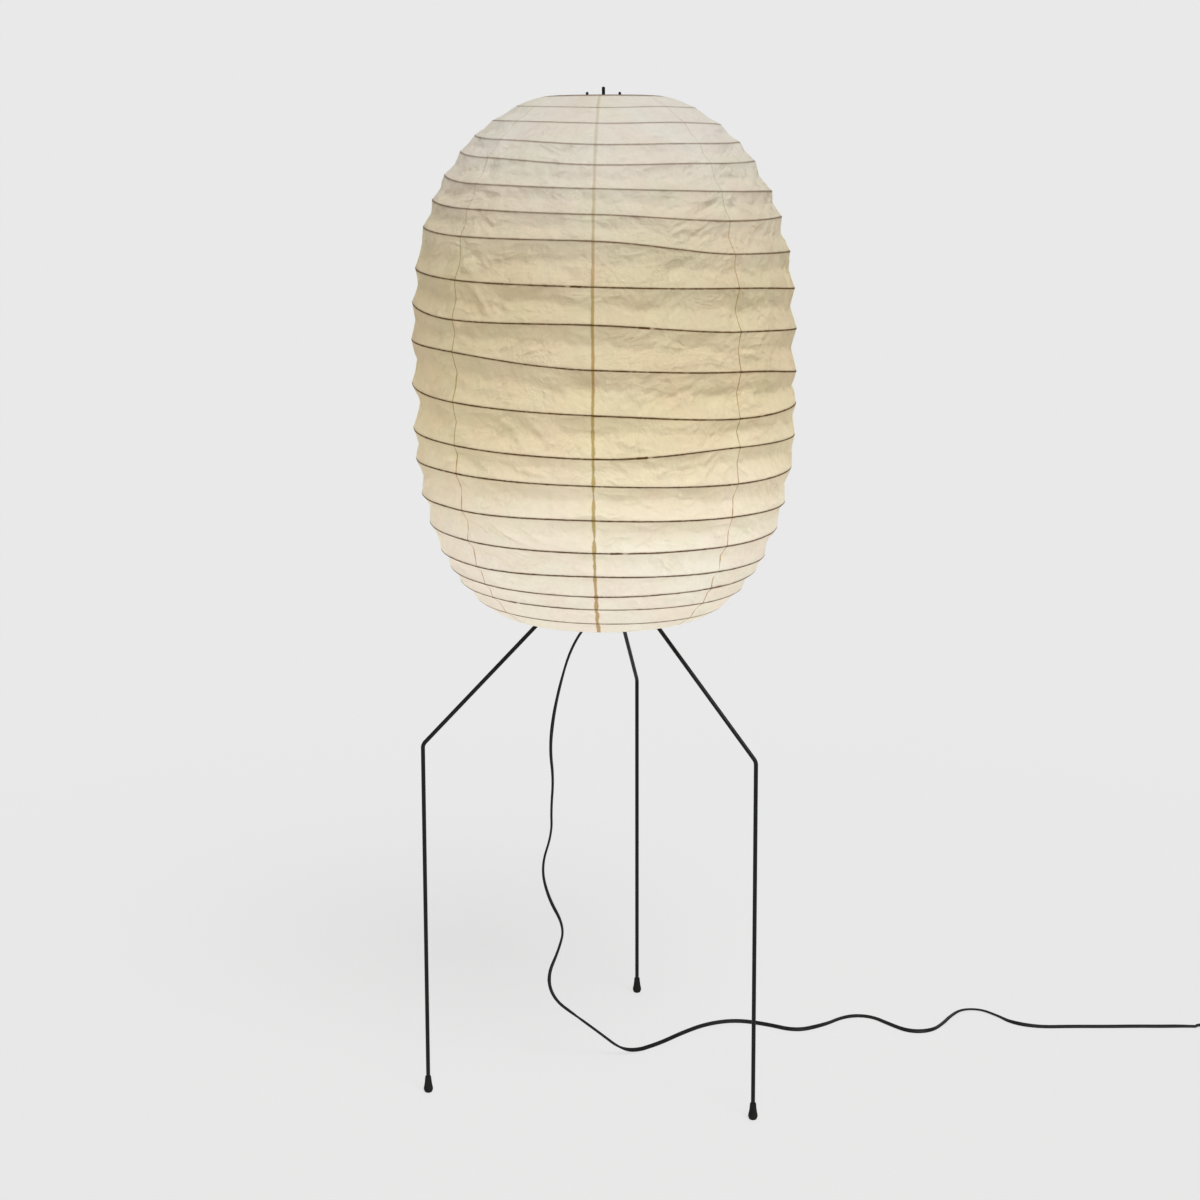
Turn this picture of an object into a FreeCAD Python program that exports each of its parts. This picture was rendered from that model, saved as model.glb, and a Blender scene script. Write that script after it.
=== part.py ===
"""Floor lamp: a paper lantern over a three-legged wire stand, with its lampholder, bulb, cord and foot switch.

The origin is on the floor under the lamp's axis. +Z is up, +X is the viewer's right and +Y is away from the viewer.
All sizes are in millimetres and all angles in degrees.
"""
import FreeCAD, Part
import math
import os

# ---- Stand: three bent rods in a turned hub ----
LEG_DIAMETER = 6.35
FOOT_RADIUS = 298.5            # from the lamp's axis to the foot of a leg
KNEE_INSET = 3.5               # of the knee from the foot, towards the axis
KNEE_HEIGHT = 572.6
LEG_SLOPE = 43.17              # of the upper part of a leg, above the horizontal
KNEE_BEND_RADIUS = 12.0
LEG_AZIMUTHS = {"back": 10.84, "right": 130.84, "left": 250.84}   # from +Y towards +X
SOCKET_DEPTH = 20.0
SOCKET_CLEARANCE = 0.1

CAP_HEIGHT = 26.5
CAP_TOP_DIAMETER = 9.2
CAP_FLARE_DIAMETER = 15.0
CAP_SOLE_DIAMETER = 12.4
CAP_FLARE_HEIGHT = 4.0
CAP_SOLE_THICKNESS = 4.0

HUB_DIAMETER = 60.0
HUB_NOSE_DIAMETER = 24.0
HUB_CROWN = 0.8                # from the point where the leg lines meet up to the hub's top face
CORD_PASSAGE_DIAMETER = 9.0
SET_SCREW_DIAMETER = 4.0
SET_SCREW_KEY = 2.0            # hexagon key, across the flats

# ---- Lampholder and bulb ----
NIPPLE_DIAMETER = 10.0
NIPPLE_BORE = 7.5
NIPPLE_ENGAGEMENT = 5.0
HOLDER_DIAMETER = 36.0
HOLDER_WALL = 2.2
HOLDER_CAP_HEIGHT = 15.0
HOLDER_SHELL_HEIGHT = 26.0
HOLDER_SHOULDER = 8.0
SLEEVE_BORE = 26.6
SLEEVE_WALL = 0.5
CONTACT_WIDTH = 6.0
CONTACT_THICKNESS = 0.6
BULB_BASE_DIAMETER = 26.0
BULB_BASE_HEIGHT = 22.0
BULB_GLASS_DIAMETER = 60.0
BULB_LENGTH = 104.0
BULB_NECK_DIAMETER = 24.0
BULB_GLOBE_STEPS = 5           # straight steps of the globe's outline

# ---- Inner frame that carries the shade ----
WIRE_DIAMETER = 4.0
PLATE_THICKNESS = 2.5
PLATE_WIDTH = 20.0
UPRIGHT_FOOT_SPACING = 84.0    # between the uprights beside the bulb
UPRIGHT_TIP_SPACING = 48.0     # between the uprights above the bulb
UPRIGHT_STRAIGHT = 150.0       # from the plate to the lower bend
UPRIGHT_TAPER_HEIGHT = 70.0    # from the lower bend to the upper one
UPRIGHT_BEND_RADIUS = 25.0
UPRIGHT_TIP_ABOVE_RIM = 5.7
NUT_WIDTH = 7.0
NUT_THICKNESS = 2.4
COLLAR_DIAMETER = 9.0
COLLAR_HEIGHT = 7.0
ARM_SHOULDER = 24.0            # straight stretch of a spreader arm beyond the hub
ARM_TIP_HEIGHT = 12.0          # upright tip of a spreader arm
ARM_TIP_BELOW_RIM = 1.0
ARM_BEND_RADIUS = 9.0
ARM_SOCKET_DEPTH = 8.0
ARM_RING_GAP = 1.5

# ---- Shade: paper gores on a bamboo spiral between two wire rings ----
SHADE_TOP = 1537.0
# Drop of the spiral at the front from turn to turn, upper rim and lower rim included. Wound by hand, so uneven.
TURN_DROPS = [19, 21, 26, 26.5, 34.8, 35.4, 39.3, 59.6, 53.3, 60.7, 59.5, 59.2, 43.2, 52.1, 45.2, 39.8, 28.5,
              24.2, 27, 23]
TOP_RIM_RADIUS = 76.0
BELLY_RADIUS = 290.3
BOTTOM_RIM_RADIUS = 145.0
BELLY_DROP = 435.0             # from the upper rim to the widest place
SHOULDER_FULLNESS = 3.3
FOOT_FULLNESS = 2.6
EDGE_FULLNESS = 1.6
LEAN = 15.0                    # how much the turns tilt to the right above the belly and to the left below it
LEAN_REACH = 350.0
GORES = 8
GORE_FACETS = 3
SEAM_AZIMUTH = 3.3             # turn of the seams from the lamp's X and Y axes
PAPER_THICKNESS = 0.5
CREASE_PLACE = 0.45            # of a band's height, from the turn above
CREASE_DEPTH = 0.14            # of a band's height
RIB_WIDTH = 1.8
RIB_THICKNESS = 1.4
RIB_GAP = 0.6                  # between the paper's inner face and the bamboo
RING_WIRE = 3.0
CROSSBAR_WIDTH = 12.0
CROSSBAR_THICKNESS = 2.0
CROSSBAR_HOLE_CLEARANCE = 0.5
PIN_DIAMETER = 4.8
PIN_ABOVE_RIM = 13.0
PIN_HEAD_DIAMETER = 9.0
PIN_HEAD_THICKNESS = 1.8

# ---- Cord, foot switch, coil and plug ----
CORD_DIAMETER = 6.0
CORD_SIDES = 8
RELIEF_LENGTH = 20.0
RELIEF_FLANGE_DIAMETER = 18.0
RELIEF_FLANGE_THICKNESS = 3.0
RELIEF_ROOT_DIAMETER = 14.0
RELIEF_TIP_DIAMETER = 8.6
CORD_RUN_SHARE = 0.45          # of the shorter run, which an arc of the cord takes up
SWITCH_LENGTH = 70.0
SWITCH_WIDTH = 36.0
SWITCH_HEIGHT = 22.0
SWITCH_SPLIT_HEIGHT = 9.0
SWITCH_CORNER_RADIUS = 12.0
SWITCH_EDGE = 1.5
SWITCH_WALL = 2.5
BUTTON_DIAMETER = 20.0
BUTTON_PROUD = 5.0
BUTTON_TRAVEL = 2.5
BUTTON_CLEARANCE = 0.3
BUTTON_FLANGE = 1.5
SWITCH_SCREW_DIAMETER = 5.0
SWITCH_SCREW_SPACING = 44.0
SWITCH_SCREW_RECESS = 0.8
COIL_LEAD = 42.0               # between the switch and the first turn, and between the last turn and the plug
COIL_MEAN_DIAMETER = 66.0
COIL_TURNS_PER_LAYER = 2
COIL_GAP = 0.9                 # between one turn and the next
COIL_LAYER_GAP = 0.8
TIE_WIDTH = 6.0
TIE_THICKNESS = 1.3
TIE_CLEARANCE = 0.25
PLUG_HEIGHT = 16.0
PLUG_LENGTH = 34.0
PLUG_WIDTH = 25.0
PLUG_NECK_WIDTH = 13.0
PLUG_EDGE = 2.0
BLADE_SPACING = 12.7
BLADE_WIDTH = 6.3
BLADE_THICKNESS = 1.5
BLADE_LENGTH = 16.0
BLADE_HOLE_DIAMETER = 3.0

UP = FreeCAD.Vector(0, 0, 1)
ORIGIN = FreeCAD.Vector(0, 0, 0)


# ---- Heights and radii that follow from the sizes above ----
slope = math.radians(LEG_SLOPE)
knee_radius = FOOT_RADIUS - KNEE_INSET
leg_apex_height = KNEE_HEIGHT + knee_radius * math.tan(slope)
hub_top = leg_apex_height + HUB_CROWN
socket_radius = (HUB_DIAMETER + HUB_NOSE_DIAMETER + LEG_DIAMETER) / 4
socket_height = leg_apex_height - socket_radius * math.tan(slope)
hub_bottom = socket_height - (socket_radius - HUB_NOSE_DIAMETER / 2) / math.tan(slope)
drum_bottom = socket_height + (HUB_DIAMETER / 2 - socket_radius) / math.tan(slope)
plate_top = hub_top + PLATE_THICKNESS
holder_cap_top = plate_top + HOLDER_CAP_HEIGHT
holder_rim = holder_cap_top + HOLDER_SHELL_HEIGHT
bulb_tip = holder_cap_top + CONTACT_THICKNESS
bulb_base_top = bulb_tip + BULB_BASE_HEIGHT
globe_height = bulb_tip + BULB_LENGTH - BULB_GLASS_DIAMETER / 2
shade_bottom = SHADE_TOP - sum(TURN_DROPS)
belly_height = SHADE_TOP - BELLY_DROP
crossbar_top = SHADE_TOP - RING_WIRE
crossbar_bottom = crossbar_top - CROSSBAR_THICKNESS
top_ring_radius = TOP_RIM_RADIUS - PAPER_THICKNESS - RIB_GAP - RING_WIRE / 2
bottom_ring_radius = BOTTOM_RIM_RADIUS - PAPER_THICKNESS - RIB_GAP - RING_WIRE / 2
arm_height = hub_top - ARM_SOCKET_DEPTH * 0.75
ARM_AZIMUTHS = {"right": LEG_AZIMUTHS["back"] + 60, "front": LEG_AZIMUTHS["right"] + 60,
                "left": LEG_AZIMUTHS["left"] + 60}
relief_root = hub_bottom - RELIEF_FLANGE_THICKNESS
relief_tip = relief_root - RELIEF_LENGTH
coil_pitch = CORD_DIAMETER + COIL_GAP
coil_low = TIE_THICKNESS + TIE_CLEARANCE + CORD_DIAMETER / 2
coil_high = coil_low + CORD_DIAMETER + COIL_LAYER_GAP
coil_outer_radius = (COIL_MEAN_DIAMETER + COIL_TURNS_PER_LAYER * coil_pitch) / 2


def polar(radius, azimuth, height):
    """Point at a radius from the axis, with its azimuth from +Y towards +X."""
    turn = math.radians(azimuth)
    return FreeCAD.Vector(radius * math.sin(turn), radius * math.cos(turn), height)


def revolve(outline, centre=ORIGIN):
    """Solid turned about the vertical line through centre, from (radius, height) corners."""
    corners = [FreeCAD.Vector(radius, 0, height) for radius, height in outline]
    face = Part.Face(Part.makePolygon(corners + corners[:1]))
    solid = face.revolve(ORIGIN, UP, 360)
    return solid.translated(centre)


def vertical_cylinder(diameter, bottom, top, x=0.0, y=0.0):
    """Upright cylinder between two heights."""
    return Part.makeCylinder(diameter / 2, top - bottom, FreeCAD.Vector(x, y, bottom))


def rounded_path(points, radii):
    """Straight runs through the points, with a tangent arc at each inner one."""
    edges = []
    last = points[0]
    for before, corner, after, radius in zip(points, points[1:], points[2:], radii):
        inward = (before - corner).normalize()
        outward = (after - corner).normalize()
        half_turn = (math.pi - inward.getAngle(outward)) / 2
        reach = radius * math.tan(half_turn)
        arc_start = corner + inward * reach
        arc_end = corner + outward * reach
        bisector = (inward + outward).normalize()
        middle = corner + bisector * (radius / math.cos(half_turn) - radius)
        edges.append(Part.LineSegment(last, arc_start).toShape())
        edges.append(Part.Arc(arc_start, middle, arc_end).toShape())
        last = arc_end
    edges.append(Part.LineSegment(last, points[-1]).toShape())
    return Part.Wire(edges)


def bent_rod(path, diameter):
    """Round rod along a wire of straight runs and tangent arcs, each piece an exact cylinder or ring segment."""
    pieces = []
    for edge in path.Edges:
        start, heading = edge.firstVertex(True).Point, edge.tangentAt(edge.FirstParameter)
        if edge.Orientation == "Reversed":
            heading = heading * -1
        section = Part.Face(Part.Wire(Part.makeCircle(diameter / 2, start, heading)))
        if isinstance(edge.Curve, Part.Line):
            pieces.append(section.extrude(heading * edge.Length))
        else:
            centre = edge.Curve.Center
            axis = (start - centre).cross(heading)
            pieces.append(section.revolve(centre, axis, math.degrees(edge.Length / edge.Curve.Radius)))
    return pieces[0].fuse(pieces[1:]).removeSplitter()


def faceted_tube(path, diameter):
    """Tube with flat sides swept along a wire, as thick across the corners as the cord."""
    start = path.Edges[0]
    heading = start.tangentAt(start.FirstParameter)
    turn = FreeCAD.Rotation(UP, heading)
    at = start.valueAt(start.FirstParameter)
    corners = [at + turn.multVec(polar(diameter / 2, 360 / CORD_SIDES * (side + 0.5), 0))
               for side in range(CORD_SIDES)]
    return path.makePipeShell([Part.makePolygon(corners + corners[:1])], True, False)


def hexagon_prism(width, height, base, axis=UP):
    """Hexagonal bar, width across the flats, standing on base along axis."""
    turn = FreeCAD.Rotation(UP, axis)
    corner_radius = width / 2 / math.cos(math.pi / 6)
    corners = [FreeCAD.Vector(corner_radius * math.cos(math.radians(60 * k)),
                              corner_radius * math.sin(math.radians(60 * k)), 0) for k in range(7)]
    face = Part.Face(Part.makePolygon([base + turn.multVec(corner) for corner in corners]))
    return face.extrude(axis * height)


def rounded_slab(length, width, height, corner_radius, centre_x, centre_y, bottom):
    """Box with upright edges rounded, centred on a point of the floor plan."""
    corner = FreeCAD.Vector(centre_x - length / 2, centre_y - width / 2, bottom)
    box = Part.makeBox(length, width, height, corner)
    upright = [edge for edge in box.Edges if abs(edge.tangentAt(edge.FirstParameter).z) > 0.99]
    return box.makeFillet(corner_radius, upright)


# ---- Stand ----
def leg_points(azimuth):
    """Centre line of a leg, from its end in the hub over the knee to the foot."""
    top_radius = socket_radius - SOCKET_DEPTH * math.cos(slope)
    top = polar(top_radius, azimuth, leg_apex_height - top_radius * math.tan(slope))
    return [top, polar(knee_radius, azimuth, KNEE_HEIGHT), polar(FOOT_RADIUS, azimuth, CAP_SOLE_THICKNESS)]


def make_leg(azimuth):
    """Bent rod of one leg."""
    return bent_rod(rounded_path(leg_points(azimuth), [KNEE_BEND_RADIUS]), LEG_DIAMETER)


def make_foot_cap(azimuth):
    """Rubber boot on the end of a leg, flared above its chamfered sole."""
    outline = [(0, 0), (CAP_SOLE_DIAMETER / 2, 0), (CAP_FLARE_DIAMETER / 2, CAP_FLARE_HEIGHT),
               (CAP_TOP_DIAMETER / 2, CAP_HEIGHT), (0, CAP_HEIGHT)]
    _, knee, foot = leg_points(azimuth)
    bore = Part.makeCylinder(LEG_DIAMETER / 2, 2 * CAP_HEIGHT, foot, knee - foot)
    return revolve(outline, polar(FOOT_RADIUS, azimuth, 0)).cut(bore)


def leg_heading(azimuth):
    """Unit vector down the upper part of a leg, away from the hub."""
    return polar(math.cos(slope), azimuth, -math.sin(slope))


def set_screw_frame(azimuth):
    """Middle of a leg's grip in the hub, and the unit vector from it out through the hub's side."""
    grip = leg_points(azimuth)[0] + leg_heading(azimuth) * (SOCKET_DEPTH / 2)
    return grip, polar(math.sin(slope), azimuth, math.cos(slope))


def make_set_screw(azimuth):
    """Headless screw that holds a leg in the hub, with its hexagon key hole."""
    grip, outward = set_screw_frame(azimuth)
    seat = grip + outward * (LEG_DIAMETER / 2)
    length = SOCKET_DEPTH / 2
    body = Part.makeCylinder(SET_SCREW_DIAMETER / 2, length, seat, outward)
    key = hexagon_prism(SET_SCREW_KEY, length / 2, seat + outward * (length / 2), outward)
    return body.cut(key)


def make_arm(azimuth):
    """Spreader arm: out of the hub, down beside the lower ring, with an upright tip inside it."""
    tip_radius = bottom_ring_radius - RING_WIRE / 2 - ARM_RING_GAP - WIRE_DIAMETER / 2
    tip_bottom = shade_bottom - ARM_TIP_BELOW_RIM
    points = [polar(HUB_DIAMETER / 2 - ARM_SOCKET_DEPTH, azimuth, arm_height),
              polar(HUB_DIAMETER / 2 + ARM_SHOULDER, azimuth, arm_height),
              polar(tip_radius, azimuth, tip_bottom + ARM_TIP_HEIGHT + ARM_BEND_RADIUS / 2),
              polar(tip_radius, azimuth, tip_bottom)]
    return bent_rod(rounded_path(points, [ARM_BEND_RADIUS, ARM_BEND_RADIUS]), WIRE_DIAMETER)


def make_hub():
    """Turned hub: a cone square to the legs under a short drum, bored for cord, legs, arms and screws."""
    nose = HUB_NOSE_DIAMETER / 2
    drum = HUB_DIAMETER / 2
    hub = revolve([(0, hub_bottom), (nose, hub_bottom), (drum, drum_bottom), (drum, hub_top), (0, hub_top)])
    thread_bottom = hub_top - NIPPLE_ENGAGEMENT
    cuts = [vertical_cylinder(CORD_PASSAGE_DIAMETER, hub_bottom, thread_bottom),
            vertical_cylinder(NIPPLE_DIAMETER, thread_bottom, hub_top)]
    for azimuth in LEG_AZIMUTHS.values():
        bore = LEG_DIAMETER / 2 + SOCKET_CLEARANCE
        cuts.append(Part.makeCylinder(bore, 2 * SOCKET_DEPTH, leg_points(azimuth)[0], leg_heading(azimuth)))
        grip, outward = set_screw_frame(azimuth)
        cuts.append(Part.makeCylinder(SET_SCREW_DIAMETER / 2, HUB_DIAMETER, grip, outward))
    for azimuth in ARM_AZIMUTHS.values():
        socket = polar(HUB_DIAMETER / 2 - ARM_SOCKET_DEPTH, azimuth, arm_height)
        cuts.append(Part.makeCylinder(WIRE_DIAMETER / 2, HUB_DIAMETER, socket, polar(1, azimuth, 0)))
    return hub.cut(cuts)


# ---- Lampholder and bulb ----
def make_nipple():
    """Hollow threaded tube that joins hub, frame plate and lampholder."""
    bottom = hub_top - NIPPLE_ENGAGEMENT
    top = plate_top + NIPPLE_ENGAGEMENT
    return revolve([(NIPPLE_BORE / 2, bottom), (NIPPLE_DIAMETER / 2, bottom), (NIPPLE_DIAMETER / 2, top),
                    (NIPPLE_BORE / 2, top)])


def make_holder_cap():
    """Lower half of the lampholder, screwed onto the nipple."""
    outer = HOLDER_DIAMETER / 2
    inner = outer - HOLDER_WALL
    neck = NIPPLE_DIAMETER / 2
    foot = (outer + neck) / 2
    shoulder = plate_top + HOLDER_SHOULDER
    return revolve([(neck, plate_top), (foot, plate_top), (outer, shoulder), (outer, holder_cap_top),
                    (inner, holder_cap_top), (inner, shoulder), (foot, plate_top + NIPPLE_ENGAGEMENT),
                    (neck, plate_top + NIPPLE_ENGAGEMENT)])


def make_holder_shell():
    """Upper half of the lampholder, a plain skirt round the threaded sleeve."""
    outer = HOLDER_DIAMETER / 2
    bore = SLEEVE_BORE / 2 + SLEEVE_WALL
    edge = (outer - bore) / 2
    return revolve([(bore, holder_cap_top), (outer, holder_cap_top), (outer, holder_rim - edge),
                    (outer - edge, holder_rim), (bore, holder_rim)])


def make_insulator():
    """Disc that carries the contact and closes the sleeve below."""
    return vertical_cylinder(HOLDER_DIAMETER - 2 * HOLDER_WALL, holder_cap_top - HOLDER_WALL, holder_cap_top)


def make_sleeve():
    """Brass sleeve that the bulb screws into."""
    inner = SLEEVE_BORE / 2
    top = holder_rim - HOLDER_WALL
    return revolve([(inner, holder_cap_top), (inner + SLEEVE_WALL, holder_cap_top), (inner + SLEEVE_WALL, top),
                    (inner, top)])


def make_contact():
    """Centre contact: a strip on the insulator."""
    return Part.makeBox(CONTACT_WIDTH * 2, CONTACT_WIDTH, CONTACT_THICKNESS,
                        FreeCAD.Vector(-CONTACT_WIDTH, -CONTACT_WIDTH / 2, holder_cap_top))


def make_bulb_base():
    """Screw base of the bulb, with its narrow foot contact."""
    radius = BULB_BASE_DIAMETER / 2
    step = BULB_BASE_HEIGHT / 7
    return revolve([(0, bulb_tip), (radius / 3, bulb_tip), (radius / 2, bulb_tip + step),
                    (radius, bulb_tip + 2 * step), (radius, bulb_base_top), (0, bulb_base_top)])


def make_bulb_glass():
    """Pear-shaped glass: a neck that opens into a globe."""
    radius = BULB_GLASS_DIAMETER / 2
    outline = [(0, bulb_base_top), (BULB_NECK_DIAMETER / 2, bulb_base_top)]
    for step in range(BULB_GLOBE_STEPS + 1):
        angle = math.radians(-30 + 120 * step / BULB_GLOBE_STEPS)
        outline.append((radius * math.cos(angle), globe_height + radius * math.sin(angle)))
    outline[-1] = (0, globe_height + radius)
    return revolve(outline)


# ---- Inner frame ----
def make_frame_plate():
    """Flat bar on the hub that carries the uprights."""
    half = UPRIGHT_FOOT_SPACING / 2
    plate = Part.makeBox(2 * half, PLATE_WIDTH, PLATE_THICKNESS, FreeCAD.Vector(-half, -PLATE_WIDTH / 2, hub_top))
    for side in (-1, 1):
        plate = plate.fuse(Part.makeCylinder(PLATE_WIDTH / 2, PLATE_THICKNESS,
                                             FreeCAD.Vector(side * half, 0, hub_top)))
    plate = plate.removeSplitter()
    holes = [Part.makeCylinder(WIRE_DIAMETER / 2, PLATE_THICKNESS, FreeCAD.Vector(side * half, 0, hub_top))
             for side in (-1, 1)]
    holes.append(Part.makeCylinder(NIPPLE_DIAMETER / 2, PLATE_THICKNESS, FreeCAD.Vector(0, 0, hub_top)))
    return plate.cut(holes)


def make_upright(side):
    """Wire upright: out beside the bulb, in above it, with a rounded tip over the shade's crossbar."""
    foot = side * UPRIGHT_FOOT_SPACING / 2
    tip = side * UPRIGHT_TIP_SPACING / 2
    tip_height = SHADE_TOP + UPRIGHT_TIP_ABOVE_RIM - WIRE_DIAMETER / 2
    lower_bend = plate_top + UPRIGHT_STRAIGHT
    points = [FreeCAD.Vector(foot, 0, hub_top - NUT_THICKNESS - 1),
              FreeCAD.Vector(foot, 0, lower_bend),
              FreeCAD.Vector(tip, 0, lower_bend + UPRIGHT_TAPER_HEIGHT),
              FreeCAD.Vector(tip, 0, tip_height)]
    wire = bent_rod(rounded_path(points, [UPRIGHT_BEND_RADIUS, UPRIGHT_BEND_RADIUS]), WIRE_DIAMETER)
    dome = Part.makeSphere(WIRE_DIAMETER / 2, points[-1], UP, 0, 90)
    return wire.fuse(dome).removeSplitter()


def make_frame_nuts():
    """Hexagon nuts above and below the plate, two on each upright."""
    nuts = []
    for side in (-1, 1):
        foot = side * UPRIGHT_FOOT_SPACING / 2
        for bottom in (hub_top - NUT_THICKNESS, plate_top):
            nut = hexagon_prism(NUT_WIDTH, NUT_THICKNESS, FreeCAD.Vector(foot, 0, bottom))
            nuts.append(nut.cut(Part.makeCylinder(WIRE_DIAMETER / 2, NUT_THICKNESS,
                                                  FreeCAD.Vector(foot, 0, bottom))))
    return Part.makeCompound(nuts)


def make_collars():
    """Collars on the uprights, on which the shade's crossbar rests."""
    collars = []
    for side in (-1, 1):
        centre = FreeCAD.Vector(side * UPRIGHT_TIP_SPACING / 2, 0, 0)
        collars.append(revolve([(WIRE_DIAMETER / 2, crossbar_bottom - COLLAR_HEIGHT),
                                (COLLAR_DIAMETER / 2 - 1, crossbar_bottom - COLLAR_HEIGHT),
                                (COLLAR_DIAMETER / 2, crossbar_bottom - COLLAR_HEIGHT + 1),
                                (COLLAR_DIAMETER / 2, crossbar_bottom), (WIRE_DIAMETER / 2, crossbar_bottom)],
                               centre))
    return Part.makeCompound(collars)


# ---- Shade ----
def profile_radius(height):
    """Radius of the lantern at a height, full at the belly and drawn in to both rims."""
    if height >= belly_height:
        share = (height - belly_height) / BELLY_DROP
        rim, fullness = TOP_RIM_RADIUS, SHOULDER_FULLNESS
    else:
        share = (belly_height - height) / (belly_height - shade_bottom)
        rim, fullness = BOTTOM_RIM_RADIUS, FOOT_FULLNESS
    share = min(share, 1)
    return rim + (BELLY_RADIUS - rim) * (1 - share ** fullness) ** (1 / EDGE_FULLNESS)


def turn_height(turn):
    """Height of the spiral at the front after a number of turns, smooth between the measured ones."""
    heights = [SHADE_TOP]
    for drop in TURN_DROPS:
        heights.append(heights[-1] - drop)
    index = min(int(turn), len(heights) - 2)
    part = turn - index
    before = heights[max(index - 1, 0)]
    start, end = heights[index], heights[index + 1]
    after = heights[min(index + 2, len(heights) - 1)]
    slope_start, slope_end = (end - before) / 2, (after - start) / 2
    return ((2 * part ** 3 - 3 * part ** 2 + 1) * start + (part ** 3 - 2 * part ** 2 + part) * slope_start
            + (3 * part ** 2 - 2 * part ** 3) * end + (part ** 3 - part ** 2) * slope_end)


def spiral_azimuth(share):
    """Azimuth of a place on the spiral, a number of turns from its start at the back seam."""
    return 360 * (1 - share) + SEAM_AZIMUTH


def spiral_point(turns):
    """Point of the spiral a number of turns from its start, as (radius, azimuth, height)."""
    azimuth = spiral_azimuth(turns)
    height = turn_height(turns + 0.5)
    away = (height - belly_height) / LEAN_REACH
    tilt = LEAN / 2 * math.sin(math.pi * away) if abs(away) < 1 else 0
    height -= tilt * math.sin(math.radians(azimuth))
    return profile_radius(height), azimuth, height


def wall_direction(height):
    """Unit vector up the lantern's wall at a height, as (radius, height) parts."""
    step = 1.0
    upper = profile_radius(min(height + step, SHADE_TOP))
    lower = profile_radius(max(height - step, shade_bottom))
    length = math.hypot(upper - lower, 2 * step)
    return (upper - lower) / length, 2 * step / length


def inward_offset(radius, height, distance):
    """A place moved inside the lantern's wall, square to its outline, as (radius, height)."""
    along_radius, along_height = wall_direction(height)
    return radius - distance * along_height, height + distance * along_radius


def gore_column(share):
    """Outer corners of the paper down one azimuth, rims, ribs and creases, as (radius, height)."""
    spiral_turns = len(TURN_DROPS) - 1
    ribs = [(TOP_RIM_RADIUS, SHADE_TOP)]
    for turn in range(spiral_turns):
        radius, _, height = spiral_point(turn + share)
        ribs.append((radius, height))
    ribs.append((BOTTOM_RIM_RADIUS, shade_bottom))
    column = ribs[:1]
    for (upper_radius, upper_height), (radius, height) in zip(ribs, ribs[1:]):
        along_radius = radius - upper_radius
        along_height = height - upper_height
        crease_radius = upper_radius + CREASE_PLACE * along_radius + CREASE_DEPTH * along_height
        crease_height = upper_height + CREASE_PLACE * along_height - CREASE_DEPTH * along_radius
        column += [(crease_radius, crease_height), (radius, height)]
    return column


def solid_from_faces(polygons):
    """Closed solid from flat polygons that share their edges."""
    shell = Part.Shell([Part.Face(Part.makePolygon(corners + corners[:1])) for corners in polygons])
    solid = Part.Solid(shell)
    if solid.Volume < 0:
        solid.reverse()
    return solid


def skin(rows):
    """Triangles over a grid of points."""
    triangles = []
    for upper, lower in zip(rows, rows[1:]):
        for column in range(len(upper) - 1):
            triangles.append([upper[column], lower[column], upper[column + 1]])
            triangles.append([upper[column + 1], lower[column], lower[column + 1]])
    return triangles


def make_gore(index):
    """One paper gore: a thin creased strip between two seams, from rim to rim."""
    shares = [(index + facet / GORE_FACETS) / GORES for facet in range(GORE_FACETS + 1)]
    outer_columns, inner_columns = [], []
    for share in shares:
        azimuth = spiral_azimuth(share)
        column = gore_column(share)
        outer_columns.append([polar(radius, azimuth, height) for radius, height in column])
        inside = [inward_offset(radius, height, PAPER_THICKNESS) for radius, height in column]
        inner_columns.append([polar(radius, azimuth, height) for radius, height in inside])
    outer_rows = [list(row) for row in zip(*outer_columns)]
    inner_rows = [list(row) for row in zip(*inner_columns)]
    faces = skin(outer_rows) + skin(inner_rows)
    for outer, inner in ((outer_columns[0], inner_columns[0]), (outer_columns[-1], inner_columns[-1])):
        for row in range(len(outer) - 1):
            faces.append([outer[row], outer[row + 1], inner[row + 1], inner[row]])
    for outer, inner in ((outer_rows[0], inner_rows[0]), (outer_rows[-1], inner_rows[-1])):
        for column in range(len(outer) - 1):
            faces.append([outer[column], outer[column + 1], inner[column + 1], inner[column]])
    return solid_from_faces(faces)


def make_spiral_rib():
    """The bamboo: one strip, flat against the paper, from the upper ring round and round to the lower one."""
    facets = GORES * GORE_FACETS
    sections = []
    for step in range((len(TURN_DROPS) - 1) * facets + 1):
        radius, azimuth, height = spiral_point(step / facets)
        along_radius, along_height = wall_direction(height)
        corners = []
        for depth, side in ((0, 1), (0, -1), (RIB_THICKNESS, -1), (RIB_THICKNESS, 1)):
            at_radius, at_height = inward_offset(radius, height, PAPER_THICKNESS + RIB_GAP + depth)
            shift = side * RIB_WIDTH / 2
            corners.append(polar(at_radius + shift * along_radius, azimuth, at_height + shift * along_height))
        sections.append(corners)
    faces = skin([section + section[:1] for section in sections])
    return solid_from_faces(faces + [sections[0], sections[-1]])


def make_ring(radius, middle_height):
    """Wire ring with as many straight sides as the paper has facets."""
    facets = GORES * GORE_FACETS
    half = RING_WIRE / 2
    sections = []
    for step in range(facets):
        azimuth = spiral_azimuth(step / facets)
        sections.append([polar(radius + across * half, azimuth, middle_height + up * half)
                         for across, up in ((1, 1), (1, -1), (-1, -1), (-1, 1))])
    return solid_from_faces(skin([section + section[:1] for section in sections + sections[:1]]))


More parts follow.
